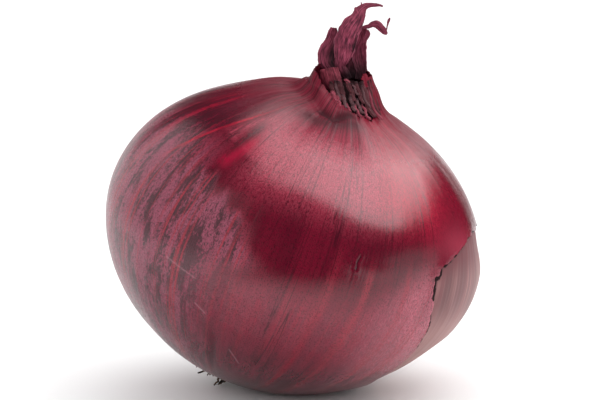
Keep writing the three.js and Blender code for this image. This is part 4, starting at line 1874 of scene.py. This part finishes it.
@dataclass
class NeckFibres:
    """Dry fibres lying on the neck in the open front of the collar."""

    form: OnionForm
    name: str
    strips: tuple[Strip, ...]
    finish: LeafFinish
    slot: Slot
    inset: float = 0.55
    thickness: float = 0.3
    columns: int = 5
    rows: int = 18
    wander: Wobbles = Wobbles(0.03, 60, 0.9)
    taper_least: float = 0.35
    taper_swell: float = 0.65
    taper_span: Span = (0.12, 0.8)
    taper_uneven: Wobbles = Wobbles(0.12, 80, 1.4)
    look_beside: float = 0.02
    look_above: float = 0.1
    buckle: Wobbles = Wobbles(0.14, 70, 1.1)
    foot_lift: float = 0.5
    foot_span: Span = (0.0, 0.25)
    clear: float = 0.25
    tip_darkness: float = 0.75
    tip_span: Span = (0.72, 1.0)
    grain_length: float = 4.0

    def build(self) -> Piece:
        """Lay each fibre along the neck and join them.

        Returns:
            The joined fibres.
        """
        parts = [self.fibre(strip, number) for number, strip in enumerate(self.strips)]
        piece = Bench.join(self.name, parts)
        Bench.smooth(piece)
        return piece

    def fibre(self, strip: Strip, number: int) -> Piece:
        """Bend one grid into a tapered, arched fibre.

        Args:
            strip: Where the fibre runs.
            number: Its number, for its own crinkles.

        Returns:
            The closed fibre.
        """
        piece = Bench.grid("fibre", self.columns, self.rows)
        flat = Bench.read(piece) * MM
        side, along = flat[:, 0], flat[:, 1] + 0.5
        height = strip.foot + (strip.top - strip.foot) * along
        turn = strip.foot_azimuth + (strip.top_azimuth - strip.foot_azimuth) * along
        turn = np.radians(turn) + self.wander.at(along, number)
        first, length = self.taper_span
        taper = self.taper_least + self.taper_swell * np.sin(math.pi * (first + length * along))
        taper = taper + self.taper_uneven.at(along, number)
        middle = self.form.on_neck(turn, height, self.inset)
        beside = self.form.on_neck(turn + self.look_beside, height, self.inset)
        above = self.form.on_neck(turn, height + self.look_above, self.inset)
        across = beside - middle
        across /= np.linalg.norm(across, axis=1, keepdims=True)
        out = np.cross(across, above - middle)
        out /= np.linalg.norm(out, axis=1, keepdims=True)
        arch = strip.lift * (1.0 - (2.0 * side) ** 2) + self.buckle.at(along, number)
        arch = arch + self.foot_lift * strip.lift * fall(along, *self.foot_span)
        points = middle + across * (side * strip.width * taper)[:, None]
        points = points + out * (self.clear + arch)[:, None]
        Bench.write(piece, self.form.stand(points))
        dark = self.tip_darkness * ease(along, *self.tip_span)
        Bench.trait(piece, Trait.BLADE, np.column_stack((side, along * self.grain_length + number, dark)))
        Bench.thicken(piece, self.thickness, 0.0)
        Bench.soften(piece, 1)
        return piece

    def dress(self, piece: Piece) -> None:
        """Give the fibres their finish and hand them over."""
        piece.data.materials.append(self.finish.material())
        Bench.hand_over(piece, self.slot)


@dataclass
class RootTuft:
    """The root plate with its short, dry rootlets."""

    form: OnionForm
    finish: RootFinish
    plate_radius: float = 4.4
    plate_thickness: float = 1.0
    floor_gap: float = 0.4
    rootlet_radius: float = 0.5
    tip_share: float = 0.35
    segments: int = 9
    sides: int = 8
    plate_sides: int = 40
    plate_steps: tuple[Span, ...] = ((0.98, 0.5), (0.86, 0.3), (0.6, 0.15), (0.3, 0.05))
    plate_sunk: float = 0.35
    knobs: Ripples = Ripples(0.18, 51, 4, 15)
    knob_depth: float = 0.4
    rootlet_gap: float = 0.2
    crook: float = 0.06
    crook_pitch: float = 0.8
    crook_from: float = 4.0
    arch: float = 0.10
    sag: float = 0.05
    sag_pitch: float = 0.9
    bends: int = 4
    long_seed: int = 100
    fan_from: float = 150.0
    fan_step: float = 14.0
    fan_radius: float = 0.62
    short_seed: int = 200
    short_dice: int = 5
    short_count: int = 16
    short_radius: Span = (0.2, 0.85)
    short_reach: Span = (1.0, 3.2)
    short_right: float = 0.35
    short_spread: float = 0.5
    short_out: float = 0.6
    short_way: Place = (-1.0, 0.0, -0.1)
    long_ends: Line = (
        (-21.0, 3.0, 4.0), (-18.1, 2.0, 2.1), (-16.6, -1.4, 0.6), (-15.4, 0.0, 1.3), (-18.8, 5.2, 1.6),
        (-16.4, 7.6, 0.9),
    )

    def build(self) -> Piece:
        """Make the plate, then bend a copy of one straight rootlet for each root.

        Returns:
            The joined plate and rootlets.
        """
        centre, out = self.socket()
        parts = [self.plate()]
        model = self.straight()
        dice = np.random.default_rng(self.short_dice)
        for number, end in enumerate(self.long_ends):
            turn = -math.radians(self.fan_from + self.fan_step * number)
            start = self.foot(turn, self.fan_radius, centre)
            parts.append(self.bent(model, start, np.array(end), self.long_seed + number))
        for number in range(self.short_count):
            turn = dice.uniform(0.0, FULL_TURN)
            start = self.foot(turn, dice.uniform(*self.short_radius), centre)
            away = start - centre
            reach = dice.uniform(*self.short_reach) * (1.0 if away[0] < 0.0 else self.short_right)
            end = start + away * self.short_spread + out * reach * self.short_out
            end = end + np.array(self.short_way) * reach
            parts.append(self.bent(model, start, end, self.short_seed + number))
        bpy.data.objects.remove(model)
        piece = Bench.join("root_tuft", parts)
        Bench.smooth(piece)
        return piece

    def socket(self) -> tuple[Points, Points]:
        """Find the root end's place and the way it faces.

        Returns:
            The place and the direction.
        """
        right, back = self.form.axis(np.array([-self.form.root]))
        end = -self.form.root
        upright = np.array([[right[0], back[0], end], [right[0], back[0], end - 1.0]])
        stood = self.form.stand(upright)
        return stood[0], stood[1] - stood[0]

    def foot(self, turn: float, share: float, centre: Points) -> Points:
        """Place a rootlet's start on the plate."""
        flat = np.array([[math.cos(turn), math.sin(turn), 0.0]]) * self.plate_radius * share
        place = centre + (self.form.stand(flat) - self.form.stand(np.zeros((1, 3))))[0]
        return np.maximum(place, (-np.inf, -np.inf, self.floor_gap + self.rootlet_radius))

    def plate(self) -> Piece:
        """Model the knobbly plate from a disc that is drawn out and narrowed.

        Returns:
            The plate in place.
        """
        steps = [(share, -self.plate_thickness * depth) for share, depth in self.plate_steps]
        piece = Bench.drawn_disc(self.plate_sides, self.plate_radius, steps)
        points = Bench.read(piece)
        azimuth = np.arctan2(points[:, 1], points[:, 0])
        points[:, 2] += self.knobs.at(azimuth) * np.minimum(1.0, -points[:, 2] / self.knob_depth)
        right, back = self.form.axis(np.array([-self.form.root]))
        upright = points + np.array((right[0], back[0], -self.form.root + self.plate_sunk))
        stood = self.form.stand(upright)
        stood[:, 2] = np.maximum(stood[:, 2], self.floor_gap)
        Bench.write(piece, stood)
        return piece

    def straight(self) -> Piece:
        """Model one straight, tapered rootlet of unit length by drawing out a disc."""
        step = (self.tip_share ** (1.0 / self.segments), 1.0 / self.segments)
        return Bench.drawn_disc(self.sides, self.rootlet_radius, [step] * self.segments)

    def bent(self, model: Piece, start: Points, end: Points, seed: int) -> Piece:
        """Copy the straight rootlet and bend it from the plate to its end.

        Args:
            model: The straight rootlet.
            start: Where it leaves the plate.
            end: Where its tip is.
            seed: Seed of its crooks.

        Returns:
            The bent copy, over the table.
        """
        piece = model.copy()
        piece.data = model.data.copy()
        bpy.context.scene.collection.objects.link(piece)
        points = Bench.read(piece)
        along = points[:, 2]
        run = end - start
        reach = float(np.linalg.norm(run))
        ahead = run / reach
        across = np.cross(ahead, (0.0, 0.0, 1.0))
        across /= np.linalg.norm(across)
        above = np.cross(across, ahead)
        crook = self.crook * reach * wobble(along, seed, self.crook_pitch, self.bends)
        crook = crook * np.minimum(1.0, self.crook_from * along)
        sag = self.sag * reach * wobble(along, seed + 50, self.sag_pitch, self.bends) * along
        lift = self.arch * reach * np.sin(math.pi * along) + sag
        place = start + along[:, None] * run + across * crook[:, None] + above * lift[:, None]
        place = place + across * points[:, :1] + above * points[:, 1:2]
        place[:, 2] = np.maximum(place[:, 2], self.rootlet_gap)
        Bench.write(piece, place)
        return piece

    def dress(self, piece: Piece) -> None:
        """Give the roots their finish and hand them over."""
        piece.data.materials.append(self.finish.material())
        Bench.hand_over(piece, Slot.ROOTS, "root_plate")


@dataclass
class Studio:
    """Pale table, white surround, a lit ceiling panel in a dark hood, and the camera."""

    form: OnionForm
    table_size: float = 6000.0
    table_tone: float = 0.92
    table_roughness: float = 0.6
    table_gloss: float = 0.3
    surround: float = 1.14
    zenith: float = 2.2
    zenith_way: Place = (0.30, 0.24, 0.92)
    zenith_from: float = 0.66
    zenith_to: float = 0.95
    panel_light: float = 3.9
    panel_dim: float = 0.55
    panel_foot: float = 20.0
    window_light: float = 0.6
    back_light: float = 1.0
    hood_radius: float = 520.0
    hood_light: float = 0.02
    hood_segments: int = 240
    hood_rings: int = 120
    panel: FlatLine = (
        (-0.15, -0.52), (0.20, -0.61), (0.46, -0.74), (0.81, -0.90), (1.35, -1.04), (1.98, -0.94),
        (2.38, -0.50), (2.22, 0.05), (1.82, 0.70), (1.52, 1.45), (1.36, 2.45), (1.30, 3.0), (1.05, 3.0),
        (0.52, 1.80), (0.12, 1.25), (-0.12, 0.90), (-0.20, 0.50), (-0.17, 0.31), (-0.15, 0.11),
        (-0.14, -0.07), (-0.15, -0.29),
    )
    panel_edge: Span = (-0.04, 0.14)
    panel_rise: Span = (-0.1, 0.7)
    window_azimuths: Span = (-142.0, -20.0)
    window_first: Span = (-2.0, 2.0)
    window_last: Span = (-16.0, 2.0)
    window_top: Span = (48.0, 52.0)
    window_corner: Span = (100.0, 128.0)
    window_corner_light: float = 0.9
    back_azimuth: float = 155.0
    back_side: Span = (-2.0, 2.0)
    back_top: Span = (9.0, 13.0)
    side_light: float = 0.8
    side_azimuths: tuple[float, float, float, float] = (44.0, 62.0, 84.0, 104.0)
    side_rise: Span = (5.0, 9.0)
    apron: FlatLine = (
        (-80.0, -100.0), (72.0, -100.0), (-900.0, -1500.0), (1000.0, -1500.0),
    )
    apron_columns: int = 8
    apron_rows: int = 24
    apron_height: float = 0.4
    apron_light: float = 1.0
    apron_fade: Span = (100.0, 210.0)
    apron_left: Span = (0.05, 0.4)
    camera_distance: float = 700.0
    camera_elevation: float = 10.0
    view_width: float = 130.57
    aim_right: float = 1.74
    aim_up: float = 7.5
    sensor: float = 36.0

    def build(self) -> None:
        """Set the table, the light and the camera."""
        self.table()
        self.hood()
        self.dark_front()
        self.sky()
        self.camera()

    def table(self) -> None:
        """Lay the pale table."""
        bpy.ops.object.select_all(action="DESELECT")
        bpy.ops.mesh.primitive_plane_add(size=self.table_size * MM)
        table = bpy.context.object
        Bench.name(table, "table")
        g = Graph("pale_table")
        g.set("Base Color", (self.table_tone,) * 3)
        g.set("Roughness", self.table_roughness)
        g.set("Specular IOR Level", self.table_gloss)
        table.data.materials.append(g.material)

    def hood(self) -> None:
        """Hang a hood that only shows in gloss: dark, with a lit panel, a dim left and a pale back."""
        bpy.ops.object.select_all(action="DESELECT")
        bpy.ops.mesh.primitive_uv_sphere_add(
            segments=self.hood_segments, ring_count=self.hood_rings, radius=self.hood_radius * MM
        )
        hood = bpy.context.object
        Bench.name(hood, "light_hood")
        centre = np.array((0.0, 0.0, self.form.centre_height))
        Bench.write(hood, Bench.read(hood) + centre)
        Bench.remove(hood, Bench.face_centres(hood)[:, 2] < 0.0)
        glow = self.glow(Bench.read(hood) - centre)
        self.only_in_gloss(hood, glow)

    def dark_front(self) -> None:
        """Lay a sheet before the onion that only shows in gloss and darkens away from it."""
        sheet = Bench.grid("dark_front", self.apron_columns, self.apron_rows)
        share = Bench.read(sheet) * MM + 0.5
        across, along = share[:, :1], share[:, 1:2] ** 3
        near_left, near_right, far_left, far_right = np.array(self.apron)
        left = near_left + (far_left - near_left) * along
        right = near_right + (far_right - near_right) * along
        spots = left + (right - left) * across
        Bench.write(sheet, np.column_stack((spots, np.full(len(spots), self.apron_height))))
        fading = np.minimum(ease(-spots[:, 1], *self.apron_fade), ease(across[:, 0], *self.apron_left))
        self.only_in_gloss(sheet, self.apron_light * (1.0 - fading))

    @staticmethod
    def only_in_gloss(piece: Piece, glow: Values) -> None:
        """Light a piece of the stage by its vertices and show it in reflections only.

        Args:
            piece: The piece of the stage.
            glow: The light of each vertex.
        """
        Bench.trait(piece, Trait.TONE, np.column_stack((glow, glow, glow)))
        g = Graph(f"{piece.name}_light")
        g.set("Base Color", (0.0, 0.0, 0.0))
        g.set("Specular IOR Level", 0.0)
        g.set("Emission Color", (1.0, 1.0, 1.0))
        g.set("Emission Strength", g.parts(g.trait(Trait.TONE))[0])
        piece.data.materials.append(g.material)
        piece.visible_camera = False
        piece.visible_diffuse = False
        piece.visible_shadow = False

    def bearing(self, ray: Points) -> tuple[Values, Values]:
        """Give each ray's azimuth from the front and its elevation, in degrees."""
        azimuth = np.degrees(np.arctan2(ray[:, 0], -ray[:, 1]))
        return azimuth, np.degrees(np.arctan2(ray[:, 2], np.hypot(ray[:, 0], ray[:, 1])))

    def glow(self, ray: Points) -> Values:
        """Give the hood's light in each direction.

        Args:
            ray: Directions from the onion's centre.

        Returns:
            The light's strength.
        """
        azimuth, elevation = self.bearing(ray)
        flat = ray[:, :2] / np.maximum(ray[:, 2:3], 1.0)
        outline = np.array(self.panel)
        closed = np.vstack((outline, outline[:1]))
        edge = away_from(flat, closed)
        depth = np.where(inside(flat, outline), edge, -edge)
        strength = self.panel_dim + (1.0 - self.panel_dim) * ease(flat[:, 0], *self.panel_rise)
        panel = self.panel_light * strength * ease(depth, *self.panel_edge) * (ray[:, 2] > self.panel_foot)
        first, last = self.window_azimuths
        window = ease(azimuth - first, *self.window_first) * fall(azimuth - last, *self.window_last)
        window = window * fall(elevation, *self.window_top)
        corner = 1.0 + self.window_corner_light * ease(-azimuth, *self.window_corner)
        window = self.window_light * window * corner
        turned = np.where(azimuth < 0.0, azimuth - first, self.back_azimuth - azimuth)
        back = fall(turned, *self.back_side) * fall(elevation, *self.back_top)
        side = ease(azimuth, *self.side_azimuths[:2]) * fall(azimuth, *self.side_azimuths[2:])
        side = self.side_light * side * fall(elevation, *self.side_rise)
        dark = np.full(len(ray), self.hood_light)
        return np.maximum.reduce((panel, window, self.back_light * back, side, dark))

    def sky(self) -> None:
        """Surround the table with white that is brighter overhead."""
        world = bpy.data.worlds.new("white_surround")
        world.use_nodes = True
        nodes, links = world.node_tree.nodes, world.node_tree.links
        way = nodes.new("ShaderNodeTexCoord")
        near = nodes.new("ShaderNodeVectorMath")
        near.operation = "DOT_PRODUCT"
        near.inputs[1].default_value = Vector(self.zenith_way).normalized()
        rise = nodes.new("ShaderNodeMapRange")
        links.new(way.outputs["Generated"], near.inputs[0])
        links.new(near.outputs["Value"], rise.inputs["Value"])
        values = (self.zenith_from, self.zenith_to, self.surround, self.zenith)
        for socket, value in zip(rise.inputs[1:5], values):
            socket.default_value = value
        links.new(rise.outputs["Result"], nodes["Background"].inputs["Strength"])
        nodes["Background"].inputs["Color"].default_value = (1.0, 1.0, 1.0, 1.0)
        world.cycles_visibility.glossy = False
        bpy.context.scene.world = world
        bpy.context.scene.view_settings.view_transform = "Standard"

    def camera(self) -> None:
        """Stand the camera at the photograph's angle."""
        tilt = math.radians(self.camera_elevation)
        back = Vector((0.0, -math.cos(tilt), math.sin(tilt)))
        up = Vector((0.0, math.sin(tilt), math.cos(tilt)))
        centre = Vector((0.0, 0.0, self.form.centre_height))
        spot = centre + back * self.camera_distance
        aim = centre + Vector((self.aim_right, 0.0, 0.0)) + up * self.aim_up
        data = bpy.data.cameras.new("camera")
        data.sensor_width = self.sensor
        data.lens = self.sensor * self.camera_distance / self.view_width
        data.clip_start = 0.01
        data.clip_end = 50.0
        camera = bpy.data.objects.new("camera", data)
        bpy.context.scene.collection.objects.link(camera)
        camera.location = spot * MM
        camera.rotation_euler = (aim - spot).to_track_quat("-Z", "Y").to_euler()
        bpy.context.scene.camera = camera


TALL_BLADES = (
    Blade((
        (0.6, -0.8, -2.3, 1.9, 1.6), (-0.3, -1.4, -0.7, 1.9, 2.2), (-1.0, -2.0, 0.9, 2.1, 2.4),
        (-0.7, -2.4, 2.2, 3.2, 2.2), (-0.3, -2.7, 4.4, 4.4, 2.0), (0.1, -2.7, 6.6, 4.7, 1.9),
        (0.7, -2.4, 8.2, 4.6, 1.8), (1.8, -1.9, 9.9, 4.1, 1.7), (2.8, -1.2, 11.5, 3.2, 1.6),
        (3.4, -0.6, 12.8, 2.4, 1.4), (4.2, -0.2, 13.5, 1.4, 1.2), (5.3, 0.1, 13.8, 0.9, 1.0),
        (6.6, 0.4, 13.8, 0.7, 0.9), (7.4, 0.6, 13.7, 0.5, 0.8), (8.1, 0.8, 13.4, 0.3, 0.6),
    ), seed=301, rows=64, columns=18, dark_foot=0.24),
    Blade((
        (3.4, 0.0, 8.8, 0.6, 0.5), (4.1, -0.1, 9.1, 0.7, 0.6), (5.1, -0.1, 9.3, 1.0, 0.7),
        (5.9, 0.0, 9.7, 1.5, 0.8), (6.8, 0.1, 9.6, 1.6, 0.8), (7.7, 0.2, 8.8, 1.5, 0.8),
        (8.5, 0.4, 7.9, 1.1, 0.6), (9.0, 0.5, 7.5, 0.5, 0.5),
    ), seed=311, columns=8, rows=30, ragged=0.16, dark_foot=0.05),
    Blade((
        (8.7, 0.5, 8.0, 0.5, 0.4), (8.9, 0.5, 8.8, 0.3, 0.4), (9.1, 0.7, 9.7, 0.4, 0.5),
        (9.3, 0.8, 10.4, 0.6, 0.7), (9.6, 0.8, 11.0, 0.2, 0.5),
    ), seed=321, columns=5, rows=16, dark_foot=0.05),
    Blade((
        (2.8, -0.4, 12.3, 0.9, 0.6), (3.2, -0.3, 13.5, 0.6, 0.6), (3.5, -0.2, 14.0, 0.3, 0.5),
        (3.3, -0.1, 14.4, 0.2, 0.4),
    ), seed=331, columns=5, rows=14, dark_foot=0.05),
    Blade((
        (2.6, -0.9, 11.7, 1.1, 1.0), (2.3, -0.8, 12.8, 0.9, 1.2), (2.1, -0.6, 13.1, 0.6, 1.2),
        (2.4, -0.3, 13.3, 0.4, 1.0),
    ), seed=341, columns=6, rows=14, dark_foot=0.05),
    Blade((
        (1.5, -2.4, 3.9, 0.2, 0.3), (1.9, -2.5, 5.2, 0.4, 0.3), (2.3, -2.4, 6.6, 0.3, 0.3),
        (2.6, -2.1, 7.6, 0.15, 0.3),
    ), seed=351, columns=4, rows=16, dark_foot=2.0),
    Blade((
        (0.2, -1.4, 8.9, 0.8, 0.6), (-0.2, -1.3, 9.8, 0.5, 0.5), (-0.6, -1.2, 10.3, 0.25, 0.4),
    ), seed=361, columns=4, rows=12, dark_foot=0.05),
)

LEFT_BLADES = (
    Blade((
        (-2.2, 1.0, -2.1, 1.7, 1.4), (-3.2, 1.0, -0.3, 2.4, 1.7), (-4.1, 1.2, 1.2, 3.2, 1.9),
        (-4.2, 1.6, 2.6, 3.6, 2.0), (-3.9, 1.9, 4.0, 3.3, 2.0), (-3.2, 1.9, 5.6, 2.3, 2.0),
        (-2.8, 1.8, 7.0, 1.9, 1.9), (-2.6, 1.6, 8.1, 1.9, 1.8), (-2.5, 1.4, 8.8, 1.3, 1.6),
    ), seed=401, dark_foot=0.35, dark_side=0.85),
)

RIGHT_BLADES = (
    Blade((
        (1.0, 2.6, -2.6, 4.2, 1.6), (0.6, 2.9, -0.6, 6.0, 1.6), (0.4, 3.1, 1.4, 7.0, 1.5),
        (0.2, 3.1, 3.2, 6.4, 1.4), (0.4, 2.9, 4.6, 4.4, 1.2), (0.8, 2.7, 5.6, 2.2, 1.0),
    ), seed=521, rows=30, dark_foot=0.98),
    Blade((
        (3.0, 1.6, -2.6, 1.7, -1.4), (3.4, 2.0, -0.9, 2.1, -1.8), (3.2, 2.4, 1.2, 3.0, -2.0),
        (3.1, 2.5, 3.4, 2.9, -2.0), (3.4, 2.2, 5.2, 2.3, -1.8), (3.8, 1.9, 6.6, 2.0, -1.5),
        (4.0, 1.5, 8.0, 1.5, -1.2), (4.1, 1.1, 9.1, 0.9, -1.0),
    ), seed=501, dark_foot=0.6),
    Blade((
        (3.8, 0.6, 5.4, 0.5, 0.5), (4.4, 0.4, 6.6, 1.0, 0.7), (4.9, 0.3, 7.6, 1.0, 0.7),
        (4.7, 0.3, 8.5, 0.4, 0.5),
    ), seed=511, columns=6, rows=16, dark_foot=0.05),
)

LINING_BLADES = (
    Blade((
        (-1.7, -3.6, -5.1, 1.5, 1.2), (-2.4, -3.5, -3.2, 3.6, 1.5), (-3.0, -3.3, -2.0, 4.3, 1.6),
        (-3.4, -3.0, -0.5, 4.3, 1.6), (-3.6, -2.7, 0.6, 3.9, 1.5),
    ), seed=601, rows=30, columns=18, crinkle=0.07, ragged=0.05, dark_foot=0.4),
)

DARK_STRIPS = (
    Strip(-126.0, 36.4, -109.0, 33.1, 1.2, 0.25),
    Strip(-108.0, 36.8, -93.0, 33.2, 1.4, 0.30),
    Strip(-88.0, 36.9, -75.0, 33.5, 1.3, 0.40),
    Strip(-70.0, 37.0, -60.0, 33.4, 1.1, 0.35),
    Strip(-55.0, 37.0, -46.0, 31.7, 1.6, 0.50),
    Strip(-37.0, 37.1, -32.0, 32.0, 1.0, 0.40),
    Strip(-26.0, 37.2, -23.0, 32.6, 0.8, 0.35),
)

ASH_STRIPS = (
    Strip(-116.0, 36.8, -100.0, 33.0, 0.7, 0.30),
    Strip(-97.0, 34.3, -88.0, 32.0, 0.8, 0.40),
    Strip(-83.0, 34.4, -76.0, 31.9, 0.9, 0.45),
    Strip(-71.0, 34.1, -65.0, 31.9, 0.8, 0.40),
    Strip(-79.0, 36.6, -69.0, 34.6, 0.4, 0.55),
    Strip(-60.0, 36.3, -52.0, 33.0, 0.4, 0.60),
)

PINK_STRIPS = (
    Strip(-118.0, 34.9, -104.0, 32.2, 1.3, 0.40),
    Strip(-107.0, 34.0, -96.0, 31.9, 0.7, 0.35),
    Strip(-89.0, 33.0, -83.0, 31.6, 0.4, 0.40),
    Strip(-75.0, 33.2, -70.0, 31.3, 0.5, 0.40),
    Strip(-62.0, 33.4, -57.0, 31.3, 0.5, 0.45),
    Strip(-44.0, 36.0, -37.0, 31.4, 0.5, 0.55),
    Strip(-92.0, 37.4, -86.0, 36.5, 1.0, 0.30),
)


def main() -> None:
    """Build the onion piece by piece, then the studio."""
    logging.basicConfig(level=logging.INFO, format="%(name)s: %(message)s")
    form = OnionForm()
    leaf = LeafFinish(LeafTone.LEAF)
    sheath = LeafFinish(LeafTone.SHEATH)
    skin = PaperSkin(form, SkinFinish(), DarkFinish("torn_edge"), SkinMarks())
    assemblies = (
        BareBulb(form, LayerFinish(), DarkFinish("neck_and_tear_shade"), skin),
        skin,
        NeckFibres(form, "neck_fibres", DARK_STRIPS, LeafFinish(LeafTone.FIBRE), Slot.INNER_LAYER),
        NeckFibres(form, "ash_fibres", ASH_STRIPS, LeafFinish(LeafTone.ASH), Slot.INNER_LAYER),
        NeckFibres(form, "pink_shreds", PINK_STRIPS, LeafFinish(LeafTone.SHRED), Slot.OUTER_SKIN),
        DrySheets(form, "collar_lining", LINING_BLADES, sheath, Slot.OUTER_SKIN),
        DrySheets(form, "leaf_tall", TALL_BLADES, leaf, Slot.DRY_LEAF, ("dry_leaf_tall",)),
        DrySheets(form, "leaf_left", LEFT_BLADES, leaf, Slot.DRY_LEAF, ("dry_leaf_left",)),
        DrySheets(form, "leaf_right", RIGHT_BLADES, leaf, Slot.DRY_LEAF, ("dry_leaf_right",)),
        RootTuft(form, RootFinish()),
    )
    for assembly in assemblies:
        assembly.dress(assembly.build())
    Studio(form).build()


if __name__ == "__main__":
    main()
